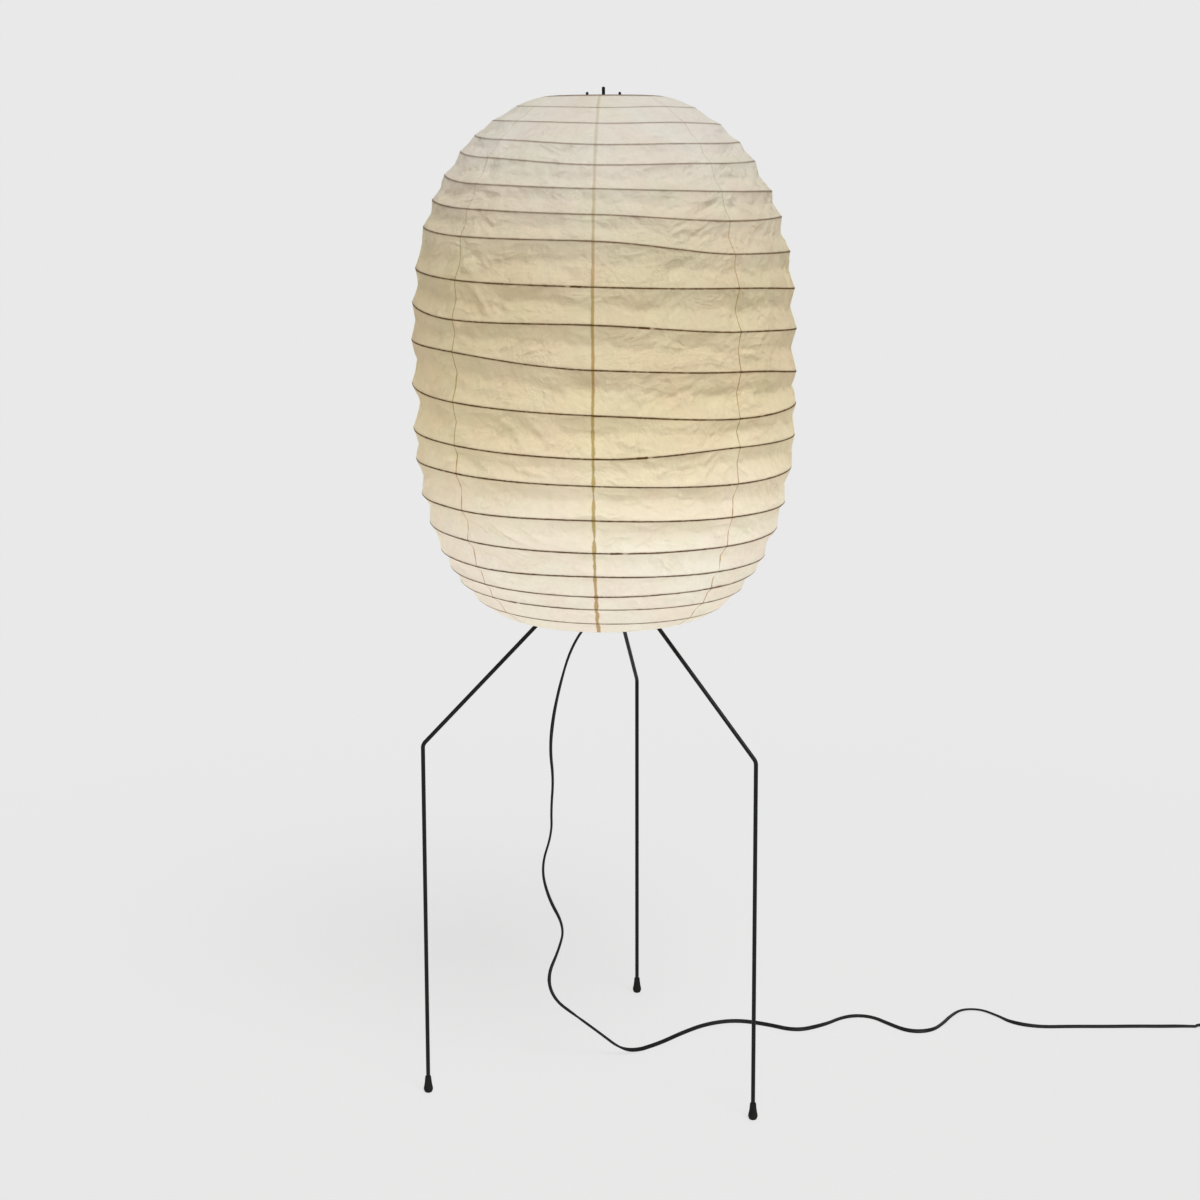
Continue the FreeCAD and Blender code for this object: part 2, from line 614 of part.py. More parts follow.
def make_crossbar():
    """Flat bar under the upper ring, with a hole for each upright's tip and one for the pin."""
    half = top_ring_radius
    bar = Part.makeBox(2 * half, CROSSBAR_WIDTH, CROSSBAR_THICKNESS,
                       FreeCAD.Vector(-half, -CROSSBAR_WIDTH / 2, crossbar_bottom))
    holes = [Part.makeCylinder(WIRE_DIAMETER / 2 + CROSSBAR_HOLE_CLEARANCE, CROSSBAR_THICKNESS,
                               FreeCAD.Vector(side * UPRIGHT_TIP_SPACING / 2, 0, crossbar_bottom))
             for side in (-1, 1)]
    holes.append(Part.makeCylinder(PIN_DIAMETER / 2, CROSSBAR_THICKNESS, FreeCAD.Vector(0, 0, crossbar_bottom)))
    return bar.cut(holes)


def make_pin():
    """Pin in the middle of the crossbar, to lift the shade by, riveted under the bar."""
    radius = PIN_DIAMETER / 2
    head = PIN_HEAD_DIAMETER / 2
    tip = SHADE_TOP + PIN_ABOVE_RIM
    return revolve([(0, crossbar_bottom - PIN_HEAD_THICKNESS), (head, crossbar_bottom - PIN_HEAD_THICKNESS),
                    (head, crossbar_bottom), (radius, crossbar_bottom), (radius, tip - radius / 2),
                    (radius / 2, tip), (0, tip)])


# ---- Cord ----
def cord_route():
    """Points of the cord from the strain relief to the foot switch: it hangs, touches down and runs off in waves."""
    floor = CORD_DIAMETER / 2
    end = SWITCH_SPLIT_HEIGHT
    points = [(0, 0, relief_tip), (0, 0, 764), (-30, 0, 737), (-54, 0, 697), (-70, 0, 643), (-82, 0, 587),
              (-87, 0, 535), (-82, 0, 487), (-86, 0, 436), (-85, 0, 396), (-103, 0, 340), (-92, 0, 288),
              (-66, 0, 238), (-75, 0, 200), (-95, 1, 152), (-84, 6, 110), (-48, 14, 78), (-8, 24, 42),
              (24, 32, 12), (52, 44, floor), (92, 74, floor), (128, 112, floor), (172, 149, floor),
              (222, 164, floor), (272, 148, floor), (322, 119, floor), (368, 142, floor), (412, 182, floor),
              (456, 182, floor), (486, 144, floor), (514, 115, floor), (548, 118, floor), (574, 148, floor),
              (592, 179, floor), (616, 208, floor), (650, 208, floor), (675, 180, floor), (698, 147, floor),
              (738, 134, floor), (790, 136, floor), (848, 135, floor), (902, 136, floor), (945, 135, floor),
              (980, 136, floor), (1006, 135.5, floor), (1024, 135.5, end), (1040, 135.5, end)]
    return [FreeCAD.Vector(*point) for point in points]


def arc_radii(points):
    """Radius of the arc at each inner point: as large as its two runs allow."""
    radii = []
    for before, corner, after in zip(points, points[1:], points[2:]):
        turn = (corner - before).getAngle(after - corner)
        shorter = min((corner - before).Length, (after - corner).Length)
        radii.append(CORD_RUN_SHARE * shorter / math.tan(turn / 2))
    return radii


def report_tube(name, path, solid, radii):
    """Print a cord's length, its tightest bend and how its volume compares with section times length."""
    section = CORD_SIDES / 2 * math.sin(2 * math.pi / CORD_SIDES) * (CORD_DIAMETER / 2) ** 2
    print(f"{name}: length {path.Length:.0f} mm, tightest bend {min(radii):.1f} mm, "
          f"volume share {solid.Volume / (section * path.Length):.4f}")


def make_cord():
    """Cord from the strain relief to the switch."""
    points = cord_route()
    radii = arc_radii(points)
    path = rounded_path(points, radii)
    tube = faceted_tube(path, CORD_DIAMETER)
    print("bend radii:", " ".join(f"{radius:.0f}" for radius in radii))
    report_tube("cord", path, tube, radii)
    return tube


def make_relief():
    """Strain relief under the hub: a flange and a sleeve that tapers down to the cord."""
    spigot = CORD_PASSAGE_DIAMETER / 2
    return revolve([(0, relief_tip), (RELIEF_TIP_DIAMETER / 2, relief_tip),
                    (RELIEF_ROOT_DIAMETER / 2, relief_root), (RELIEF_FLANGE_DIAMETER / 2, relief_root),
                    (RELIEF_FLANGE_DIAMETER / 2, hub_bottom), (spigot, hub_bottom),
                    (spigot, hub_bottom + RELIEF_FLANGE_THICKNESS), (0, hub_bottom + RELIEF_FLANGE_THICKNESS)])


def biarc(start, heading, end, end_heading):
    """Two arcs that leave start along heading, meet smoothly and reach end along end_heading."""
    across = end - start
    both = heading + end_heading
    spread = 2 * (1 - heading.dot(end_heading))
    lean = across.dot(both)
    reach = (math.sqrt(lean ** 2 + spread * across.dot(across)) - lean) / spread
    joint = (start + end + (heading - end_heading) * reach) * 0.5
    return [arc_from(start, heading, joint), arc_from(end, end_heading * -1, joint)]


def arc_from(start, heading, end):
    """Arc that leaves start along heading and ends at end."""
    chord = end - start
    along = FreeCAD.Vector(chord).normalize()
    bulge = (heading - along * heading.dot(along)).normalize()
    middle = start + chord * 0.5 + bulge * (chord.Length / 2 * math.tan(heading.getAngle(chord) / 2))
    return Part.Arc(start, middle, end).toShape()


def coil_start():
    """Point on the floor plan where the lead from the switch runs into the first turn."""
    switch_end = cord_route()[-1] + FreeCAD.Vector(SWITCH_LENGTH, 0, 0)
    return switch_end + FreeCAD.Vector(COIL_LEAD, 0, coil_low - switch_end.z)


def coil_stations():
    """Points and headings along the coil at each quarter turn: in on the low layer, out on the high one."""
    halves = 4 * COIL_TURNS_PER_LAYER
    climb = halves / 2
    at = coil_start()
    angle = 0.0
    stations = [(at, FreeCAD.Vector(1, 0, 0))]
    for half in range(halves):
        radius = coil_outer_radius - min(half, halves - half) * coil_pitch / 2
        centre = at + FreeCAD.Vector(-math.sin(angle), math.cos(angle), 0) * radius
        for quarter in (1, 2):
            turned = angle + quarter * math.pi / 2
            climbed = min(max(half - climb + quarter / 2, 0), 1)
            height = coil_low + climbed * (coil_high - coil_low)
            rise = 1.5 * (coil_high - coil_low) / (math.pi * radius) if climbed == 0.5 else 0
            place = centre + FreeCAD.Vector(math.sin(turned), -math.cos(turned), 0) * radius
            place.z = height
            stations.append((place, FreeCAD.Vector(math.cos(turned), math.sin(turned), rise).normalize()))
        angle += math.pi
        at = stations[-1][0]
    return stations


def lead(start, end, level_run):
    """Straight, sloping and straight again: the cord's way between two heights over level_run at each end."""
    points = [start, start + FreeCAD.Vector(level_run, 0, 0), end - FreeCAD.Vector(CORD_DIAMETER * 1.5, 0, 0), end]
    return rounded_path(points, arc_radii(points)).Edges


def coil_path():
    """Whole path of the coil with its leads, from the switch to the plug."""
    stations = coil_stations()
    switch_end = coil_start() - FreeCAD.Vector(COIL_LEAD, 0, coil_low - SWITCH_SPLIT_HEIGHT)
    edges = lead(switch_end, stations[0][0], CORD_DIAMETER * 1.5)
    for (start, heading), (end, end_heading) in zip(stations, stations[1:]):
        edges += biarc(start, heading, end, end_heading)
    last = stations[-1][0]
    edges += lead(last, last + FreeCAD.Vector(COIL_LEAD, 0, PLUG_HEIGHT / 2 - coil_high), CORD_DIAMETER * 2.5)
    return Part.Wire(edges)


def least_gap(path):
    """Least gap between the coil and itself, measured on points a few millimetres apart."""
    count = int(path.Length / 2)
    points = path.discretize(Number=count)
    skip = int(count * math.pi * COIL_MEAN_DIAMETER / 3 / path.Length)
    nearest = min((points[one] - points[other]).Length
                  for one in range(count) for other in range(one + skip, count))
    return nearest - CORD_DIAMETER


def make_coil():
    """The rest of the cord, wound into a flat two-layer coil beside the switch."""
    path = coil_path()
    coil = faceted_tube(path, CORD_DIAMETER)
    print(f"coil least gap to itself {least_gap(path):.2f} mm")
    report_tube("coil", path, coil, [coil_outer_radius - COIL_TURNS_PER_LAYER * coil_pitch])
    return coil


def make_tie():
    """Strap round all turns on the far side of the coil."""
    start = coil_start()
    far = start.y + 2 * coil_outer_radius + CORD_DIAMETER / 2 + TIE_CLEARANCE
    near = far - COIL_TURNS_PER_LAYER * coil_pitch - CORD_DIAMETER - 2 * TIE_CLEARANCE
    top = coil_high + CORD_DIAMETER / 2 + TIE_CLEARANCE
    hole = Part.makeBox(TIE_WIDTH, far - near, top - TIE_THICKNESS,
                        FreeCAD.Vector(start.x - TIE_WIDTH / 2, near, TIE_THICKNESS))
    band = Part.makeBox(TIE_WIDTH, far - near + 2 * TIE_THICKNESS, top + TIE_THICKNESS,
                        FreeCAD.Vector(start.x - TIE_WIDTH / 2, near - TIE_THICKNESS, 0))
    lengthwise = [edge for edge in band.Edges if abs(edge.tangentAt(edge.FirstParameter).x) > 0.99]
    return band.makeFillet(TIE_THICKNESS, lengthwise).cut(hole)


# ---- Foot switch ----
def switch_centre():
    """Middle of the foot switch on the floor plan."""
    end = cord_route()[-1]
    return end.x + SWITCH_LENGTH / 2, end.y


def make_switch_screws():
    """Two short screws from below, with their heads sunk in the base."""
    x, y = switch_centre()
    screws = [vertical_cylinder(SWITCH_SCREW_DIAMETER, SWITCH_SCREW_RECESS, SWITCH_SPLIT_HEIGHT,
                                x + side * SWITCH_SCREW_SPACING / 2, y) for side in (-1, 1)]
    return Part.makeCompound(screws)


def make_switch_base():
    """Lower half of the switch housing, bored for its screws."""
    x, y = switch_centre()
    base = rounded_slab(SWITCH_LENGTH, SWITCH_WIDTH, SWITCH_SPLIT_HEIGHT, SWITCH_CORNER_RADIUS, x, y, 0)
    sole = [edge for edge in base.Edges if edge.BoundBox.ZMax < SWITCH_EDGE]
    base = base.makeChamfer(SWITCH_EDGE, sole)
    bores = [vertical_cylinder(SWITCH_SCREW_DIAMETER, 0, SWITCH_SPLIT_HEIGHT, x + side * SWITCH_SCREW_SPACING / 2, y)
             for side in (-1, 1)]
    return base.cut(bores)


def make_switch_cover():
    """Upper half of the switch housing, hollow under the round opening for its button."""
    x, y = switch_centre()
    cover = rounded_slab(SWITCH_LENGTH, SWITCH_WIDTH, SWITCH_HEIGHT - SWITCH_SPLIT_HEIGHT, SWITCH_CORNER_RADIUS,
                         x, y, SWITCH_SPLIT_HEIGHT)
    rim = [edge for edge in cover.Edges if edge.BoundBox.ZMin > SWITCH_HEIGHT - SWITCH_EDGE]
    cover = cover.makeChamfer(SWITCH_EDGE, rim)
    well = BUTTON_DIAMETER + 2 * (BUTTON_FLANGE + BUTTON_CLEARANCE)
    return cover.cut([vertical_cylinder(BUTTON_DIAMETER + 2 * BUTTON_CLEARANCE, SWITCH_SPLIT_HEIGHT,
                                        SWITCH_HEIGHT, x, y),
                      vertical_cylinder(well, SWITCH_SPLIT_HEIGHT, SWITCH_HEIGHT - SWITCH_WALL, x, y)])


def make_switch_button():
    """Round button with a flange under the cover and a shallow dome on top."""
    x, y = switch_centre()
    radius = BUTTON_DIAMETER / 2
    seat = SWITCH_HEIGHT - SWITCH_WALL
    top = SWITCH_HEIGHT + BUTTON_PROUD
    return revolve([(0, seat - BUTTON_FLANGE), (radius + BUTTON_FLANGE, seat - BUTTON_FLANGE),
                    (radius + BUTTON_FLANGE, seat), (radius, seat), (radius, top - BUTTON_FLANGE),
                    (radius - BUTTON_FLANGE, top), (0, top)], FreeCAD.Vector(x, y, 0))


def make_switch_core():
    """The switch itself, under the button with room for its travel."""
    x, y = switch_centre()
    top = SWITCH_HEIGHT - SWITCH_WALL - BUTTON_FLANGE - BUTTON_TRAVEL - BUTTON_CLEARANCE
    return vertical_cylinder(BUTTON_DIAMETER / 2, SWITCH_SPLIT_HEIGHT, top, x, y)


# ---- Plug ----
def plug_start():
    """Point where the cord enters the plug."""
    return coil_start() + FreeCAD.Vector(COIL_LEAD, 0, PLUG_HEIGHT / 2 - coil_low)


def make_plug_body():
    """Moulded plug: a neck at the cord that widens to a flat body."""
    start = plug_start()
    neck, body = PLUG_NECK_WIDTH / 2, PLUG_WIDTH / 2
    outline = [(0, -neck), (PLUG_LENGTH * 0.3, -neck), (PLUG_LENGTH * 0.55, -body), (PLUG_LENGTH, -body),
               (PLUG_LENGTH, body), (PLUG_LENGTH * 0.55, body), (PLUG_LENGTH * 0.3, neck), (0, neck)]
    corners = [FreeCAD.Vector(start.x + along, start.y + across, 0) for along, across in outline]
    body_solid = Part.Face(Part.makePolygon(corners + corners[:1])).extrude(UP * PLUG_HEIGHT)
    level = [edge for edge in body_solid.Edges if abs(edge.tangentAt(edge.FirstParameter).z) < 0.01]
    return body_solid.makeChamfer(PLUG_EDGE, level)


def make_plug_blades():
    """Two flat blades, each with a hole near its tip."""
    start = plug_start() + FreeCAD.Vector(PLUG_LENGTH, 0, 0)
    blades = []
    for side in (-1, 1):
        corner = start + FreeCAD.Vector(0, side * BLADE_SPACING / 2 - BLADE_THICKNESS / 2, -BLADE_WIDTH / 2)
        blade = Part.makeBox(BLADE_LENGTH, BLADE_THICKNESS, BLADE_WIDTH, corner)
        hole_centre = corner + FreeCAD.Vector(BLADE_LENGTH * 0.75, 0, BLADE_WIDTH / 2)
        hole = Part.makeCylinder(BLADE_HOLE_DIAMETER / 2, BLADE_THICKNESS, hole_centre, FreeCAD.Vector(0, 1, 0))
        blades.append(blade.cut(hole))
    return Part.makeCompound(blades)


# ---- All pieces ----
def build():
    """Every piece of the lamp by name."""
    pieces = {}
    for side, azimuth in LEG_AZIMUTHS.items():
        pieces[f"leg_{side}"] = make_leg(azimuth)
        pieces[f"foot_cap_{side}"] = make_foot_cap(azimuth)
    pieces["hub"] = make_hub()
    pieces["leg_set_screws"] = Part.makeCompound([make_set_screw(azimuth) for azimuth in LEG_AZIMUTHS.values()])
    for side, azimuth in ARM_AZIMUTHS.items():
        pieces[f"spreader_arm_{side}"] = make_arm(azimuth)
    pieces["lampholder_nipple"] = make_nipple()
    pieces["lampholder_cap"] = make_holder_cap()
    pieces["lampholder_insulator"] = make_insulator()
    pieces["lampholder_shell"] = make_holder_shell()
    pieces["lampholder_sleeve"] = make_sleeve()
    pieces["lampholder_contact"] = make_contact()
    pieces["bulb_base"] = make_bulb_base()
    pieces["bulb_glass"] = make_bulb_glass()
    pieces["frame_plate"] = make_frame_plate()
    pieces["frame_nuts"] = make_frame_nuts()
    pieces["upright_left"] = make_upright(-1)
    pieces["upright_right"] = make_upright(1)
    pieces["upright_collars"] = make_collars()
    pieces["upper_ring"] = make_ring(top_ring_radius, SHADE_TOP - RING_WIRE / 2)
    pieces["lower_ring"] = make_ring(bottom_ring_radius, shade_bottom + RING_WIRE / 2)
    pieces["shade_crossbar"] = make_crossbar()
    pieces["shade_pin"] = make_pin()
    pieces["bamboo_spiral"] = make_spiral_rib()
    for index in range(GORES):
        pieces[f"paper_gore_{index + 1}"] = make_gore(index)
    pieces["strain_relief"] = make_relief()
    pieces["cord"] = make_cord()
    pieces["switch_base"] = make_switch_base()
    pieces["switch_cover"] = make_switch_cover()
    pieces["switch_core"] = make_switch_core()
    pieces["switch_button"] = make_switch_button()
    pieces["switch_screws"] = make_switch_screws()
    pieces["cord_coil"] = make_coil()
    pieces["coil_tie"] = make_tie()
    pieces["plug_body"] = make_plug_body()
    pieces["plug_blades"] = make_plug_blades()
    return pieces


os.makedirs("parts", exist_ok=True)
for name, piece in build().items():
    piece.exportStep(f"parts/{name}.step")
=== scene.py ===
"""Paper lantern floor lamp on a wire stand, with its cord, foot switch and plug.

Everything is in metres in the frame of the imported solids: the origin on the floor under the lamp's axis,
+Z up, +X to the viewer's right and +Y away from the viewer. The lamp's sizes are kept in millimetres.
"""
import logging
import math
from dataclasses import dataclass
from enum import Enum
from typing import Callable, Iterable, Sequence

import bmesh
import bpy
from mathutils import Matrix, Vector, noise


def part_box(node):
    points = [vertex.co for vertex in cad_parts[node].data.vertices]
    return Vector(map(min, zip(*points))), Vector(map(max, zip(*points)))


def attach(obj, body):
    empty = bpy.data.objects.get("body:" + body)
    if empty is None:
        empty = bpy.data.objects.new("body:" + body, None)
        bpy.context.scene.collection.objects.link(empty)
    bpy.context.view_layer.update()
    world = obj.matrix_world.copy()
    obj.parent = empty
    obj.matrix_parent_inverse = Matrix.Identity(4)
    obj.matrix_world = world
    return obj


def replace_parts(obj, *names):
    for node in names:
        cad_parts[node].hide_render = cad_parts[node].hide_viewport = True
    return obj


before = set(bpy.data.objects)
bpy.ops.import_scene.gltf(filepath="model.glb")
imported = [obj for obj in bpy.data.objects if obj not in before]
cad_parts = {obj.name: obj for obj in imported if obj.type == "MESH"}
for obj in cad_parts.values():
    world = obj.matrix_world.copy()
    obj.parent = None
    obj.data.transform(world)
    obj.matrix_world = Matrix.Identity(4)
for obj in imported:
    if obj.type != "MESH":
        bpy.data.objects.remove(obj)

Mesh = bmesh.types.BMesh
Piece = bpy.types.Object
Material = bpy.types.Material
Node = bpy.types.Node
Socket = bpy.types.NodeSocket
Span = tuple[float, float]
Ramp = tuple[Span, Span]
Point = tuple[float, float, float]
Tone = tuple[float, float, float]

LOG = logging.getLogger("lantern_lamp")
MM = 0.001


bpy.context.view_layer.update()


class Body(str, Enum):
    """Moving bodies of the lamp."""

    STAND = "stand"
    SHADE = "shade"
    BUTTON = "switch_button"


class Slot(str, Enum):
    """Material slots of the record."""

    STEEL = "black_steel"
    RUBBER = "black_rubber"
    PLAIN = "plain_steel"
    BRASS = "brass"
    PLASTIC = "black_plastic"
    FLEX = "black_flex"
    STRAP = "black_strap"
    BULB_METAL = "bulb_metal"
    BULB_GLASS = "bulb_glass"
    BAMBOO = "bamboo"
    PAPER = "washi_paper"


# ---- Finishes: tones are linear, places, heights and distances in metres ----
@dataclass(frozen=True)
class Finish:
    """How a plain surface looks.

    The two tones are mixed by a cloud of the given scale, and the grain is a bump of the given scale.
    """

    tone: Tone
    second: Tone
    roughness: Span
    cloud_scale: float
    grain_scale: float
    grain_depth: float
    stretch: Point = (1.0, 1.0, 1.0)
    metallic: float = 0.0
    specular: float = 0.5


# How the grain of drawn metal is stretched.
DRAWN = (1.0, 1.0, 0.08)
FINISHES: dict[Slot, Finish] = {
    Slot.STEEL: Finish((0.006, 0.006, 0.006), (0.011, 0.011, 0.012), (0.36, 0.50), 40.0, 900.0, 0.00004,
                       specular=0.16),
    Slot.RUBBER: Finish((0.007, 0.007, 0.007), (0.013, 0.013, 0.012), (0.62, 0.80), 120.0, 1800.0, 0.00005,
                        specular=0.15),
    Slot.PLAIN: Finish((0.42, 0.42, 0.41), (0.55, 0.55, 0.54), (0.28, 0.42), 60.0, 700.0, 0.00002, DRAWN,
                       metallic=1.0),
    Slot.BRASS: Finish((0.62, 0.42, 0.16), (0.74, 0.55, 0.26), (0.24, 0.38), 60.0, 700.0, 0.00002, DRAWN,
                       metallic=1.0),
    Slot.PLASTIC: Finish((0.010, 0.010, 0.011), (0.015, 0.015, 0.016), (0.40, 0.52), 90.0, 2600.0, 0.00003,
                         specular=0.35),
    Slot.FLEX: Finish((0.006, 0.006, 0.006), (0.010, 0.010, 0.011), (0.40, 0.52), 70.0, 1500.0, 0.00003,
                      specular=0.18),
    Slot.BULB_METAL: Finish((0.58, 0.58, 0.57), (0.70, 0.70, 0.69), (0.22, 0.34), 80.0, 900.0, 0.00001,
                            metallic=1.0),
}


@dataclass(frozen=True)
class PaperFinish:
    """How the paper looks: its light and tan tones mixed as painted light, its stains, the lines of the ribs
    and seams, and painted shadow beside the ribs.
    """

    front: tuple[Tone, Tone] = ((0.815, 0.82, 0.82), (0.745, 0.685, 0.535))
    through: tuple[Tone, Tone] = ((0.90, 0.89, 0.85), (0.81, 0.725, 0.51))
    through_share: float = 0.45
    # Painted light: the paper turns from the tan tone to the light tone towards the top and the foot, where
    # more light reaches it.
    painted_light_top: Ramp = ((1.25, 1.50), (1.0, 0.0))
    painted_light_foot: Ramp = ((0.84, 1.10), (0.12, 1.0))
    roughness: float = 0.72
    specular: float = 0.05

    fibre_scale: float = 55.0
    fleck: Tone = (0.90, 0.89, 0.85)
    fleck_mask: Ramp = ((0.35, 0.65), (0.0, 1.0))
    fleck_share: float = 0.35
    stain: Tone = (0.97, 0.92, 0.82)
    stain_scale: float = 7.0
    stain_share: float = 0.40
    tints: tuple[Tone, Tone] = ((1.0, 0.955, 0.94), (0.985, 0.99, 0.95))
    tint_scale: float = 13.0
    tint_mask: Ramp = ((0.38, 0.62), (0.0, 1.0))
    tint_share: float = 0.8

    rib: Tone = (0.115, 0.048, 0.007)
    rib_waver: float = 0.0022
    rib_narrowing: Ramp = ((0.80, 1.06), (0.82, 1.0))
    rib_edge: Ramp = ((0.0006, 0.0012), (1.0, 0.0))
    rib_strength: Ramp = ((1.24, 1.46), (0.92, 0.42))
    # Painted shadow: a soft brown darkening beside each rib.
    rib_painted_shadow: Tone = (0.30, 0.17, 0.03)
    rib_painted_shadow_edge: Ramp = ((0.0006, 0.0028), (0.30, 0.0))
    rim_edge: Ramp = ((1.5335, 1.5365), (0.0, 0.85))
    splice_gap: Ramp = ((0.0015, 0.0050), (0.25, 1.0))
    splice_end: Ramp = ((0.0070, 0.0100), (0.96, 0.0))
    splice_edge: Ramp = ((0.0011, 0.0018), (1.0, 0.0))

    glue: tuple[Tone, Tone] = ((0.44, 0.27, 0.10), (0.41, 0.30, 0.09))
    ragged_scale: float = 70.0
    seam_raggedness: Ramp = ((0.90, 1.25), (0.0065, 0.0018))
    seam_edge: Ramp = ((0.0012, 0.0031), (1.0, 0.0))
    seam_strength: Ramp = ((1.20, 1.47), (0.86, 0.26))

    patch_scale: float = 11.0
    warp_scale: float = 14.0
    warp_reach: Point = (0.05, 0.05, 0.03)
    facet_scale: float = 21.0
    facet_depth: float = 0.0050
    ridge_slant: float = 0.6
    ridge_scale: Point = (9.0, 9.0, 26.0)
    ridge_depth: float = 0.0035
    fibre_depth: float = 0.0005
    relief_strength: float = 0.8


@dataclass(frozen=True)
class BambooFinish:
    """How the split bamboo looks, streaked along its length."""

    tones: tuple[Tone, Tone] = ((0.30, 0.18, 0.075), (0.17, 0.095, 0.035))
    streak_scale: Point = (40.0, 40.0, 900.0)
    streak_mask: Ramp = ((0.35, 0.65), (0.0, 1.0))
    depth: float = 0.0002
    roughness: float = 0.55


@dataclass(frozen=True)
class StrapFinish:
    """How the woven strap looks."""

    tones: tuple[Tone, Tone] = ((0.008, 0.008, 0.008), (0.030, 0.030, 0.031))
    weave_scale: float = 620.0
    weave_bend: float = 0.6
    depth: float = 0.0002
    roughness: float = 0.8


@dataclass(frozen=True)
class GlassFinish:
    """How the frosted, lit glass of the bulb looks."""

    tones: tuple[Tone, Tone] = ((0.90, 0.87, 0.82), (0.95, 0.93, 0.90))
    frost_scale: float = 150.0
    grain_scale: float = 1500.0
    grain_depth: float = 0.00002
    roughness: float = 0.5
    glow: Tone = (1.0, 0.95, 0.88)
    glow_strength: float = 46.0


@dataclass(frozen=True)
class FloorFinish:
    """How the studio's floor and backdrop look: matt near the lamp, evenly glowing further away."""

    tone: Tone = (0.76, 0.76, 0.76)
    roughness: float = 0.9
    specular: float = 0.2
    glow: Tone = (0.815, 0.815, 0.815)
    glow_share: Ramp = ((0.9, 2.6), (0.82, 1.0))
    flank: Ramp = ((4.0, 6.5), (1.0, 0.30))


# Where the bamboo rib is spliced, and how far along x the thicker end of each splice lies.
SPLICES = [((-0.0507, -0.2790, 1.2773), 0.012), ((0.0659, -0.2809, 1.2198), -0.012),
           ((0.0636, -0.2822, 1.0408), -0.012), ((0.0288, -0.2649, 0.9013), -0.013),
           ((-0.1273, -0.1799, 0.8119), -0.010)]


# ---- Shaders ----
class Graph:
    """Lays out the nodes of one tree. A number, tone or place is given as a value or as an output."""

    def __init__(self, tree: bpy.types.NodeTree) -> None:
        """Keep the tree that the nodes go into."""
        self.tree = tree

    def feed(self, node: Node, inputs: dict[str | int, object]) -> None:
        """Give a node its inputs.

        Args:
            node: the node.
            inputs: a value or another node's output for each input named.
        """
        for name, value in inputs.items():
            if isinstance(value, Socket):
                self.tree.links.new(value, node.inputs[name])
            else:
                node.inputs[name].default_value = value

    def add(self, kind: str, inputs: dict[str | int, object] | None = None, **settings: object) -> Node:
        """Add a node.

        Args:
            kind: the node's type.
            inputs: a value or another node's output for each input named.
            settings: the node's own properties.

        Returns:
            The new node.
        """
        node = self.tree.nodes.new(kind)
        for name, value in settings.items():
            setattr(node, name, value)
        self.feed(node, inputs or {})
        return node

    def math(self, operation: str, first: object, second: object = 0.0) -> Socket:
        """Work out an operation on one or two numbers."""
        return self.add("ShaderNodeMath", {0: first, 1: second}, operation=operation).outputs[0]

    def times(self, first: object, second: object) -> Socket:
        """Multiply two numbers."""
        return self.math("MULTIPLY", first, second)

    def remap(self, value: object, old: Span, new: Span) -> Socket:
        """Map a number smoothly from its old range to a new one."""
        ends = {"Value": value, "From Min": old[0], "From Max": old[1], "To Min": new[0], "To Max": new[1]}
        return self.add("ShaderNodeMapRange", ends, interpolation_type="SMOOTHSTEP").outputs["Result"]

    def blend(self, share: object, first: object, second: object, mode: str = "MIX") -> Socket:
        """Mix two tones in the given mode, by the share of the second."""
        first, second = (tone if isinstance(tone, Socket) else (*tone, 1.0) for tone in (first, second))
        return self.add("ShaderNodeMix", {0: share, 6: first, 7: second}, data_type="RGBA",
                        blend_type=mode).outputs[2]

    def noise(self, place: Socket, scale: object, detail: float, **more: float) -> Socket:
        """Read a noise texture at a place, with more of its inputs by name."""
        inputs = {"Vector": place, "Scale": scale, "Detail": detail, **more}
        return self.add("ShaderNodeTexNoise", inputs).outputs["Fac"]

    def stretched(self, place: Socket, scale: Point) -> Socket:
        """Stretch a place along its axes."""
        return self.add("ShaderNodeMapping", {"Vector": place, "Scale": scale}).outputs[0]

    def bump(self, height: Socket, distance: object, strength: float = 1.0) -> Socket:
        """Turn a height into a normal."""
        inputs = {"Height": height, "Distance": distance, "Strength": strength}
        return self.add("ShaderNodeBump", inputs).outputs["Normal"]

    def axis(self, place: Socket, index: int) -> Socket:
        """Read one coordinate of a place."""
        return self.add("ShaderNodeSeparateXYZ", {0: place}).outputs[index]

    def away(self, place: Socket, spot: Point) -> Socket:
        """Measure how far a place is from a spot."""
        return self.add("ShaderNodeVectorMath", {0: place, 1: spot}, operation="DISTANCE").outputs["Value"]

    def nearer(self, layer: str) -> Socket:
        """Give the smaller of the two distances that a UV map holds."""
        both = self.add("ShaderNodeUVMap", uv_map=layer).outputs[0]
        return self.math("MINIMUM", self.axis(both, 0), self.axis(both, 1))

    def put_out(self, share: object, first: Node, second: Node) -> None:
        """Mix two shaders by the share of the second, and give the mix to the material."""
        both = self.add("ShaderNodeMixShader", {0: share, 1: first.outputs[0], 2: second.outputs[0]})
        self.feed(self.tree.nodes["Material Output"], {"Surface": both.outputs[0]})


def begin_material(name: str) -> tuple[Material, Graph, Node, Socket]:
    """Start a material.

    Args:
        name: its name.

    Returns:
        The material, its graph, its Principled node and the place on the piece.
    """
    material = bpy.data.materials.new(name)
    material.use_nodes = True
    graph = Graph(material.node_tree)
    place = graph.add("ShaderNodeTexCoord").outputs["Object"]
    return material, graph, material.node_tree.nodes["Principled BSDF"], place


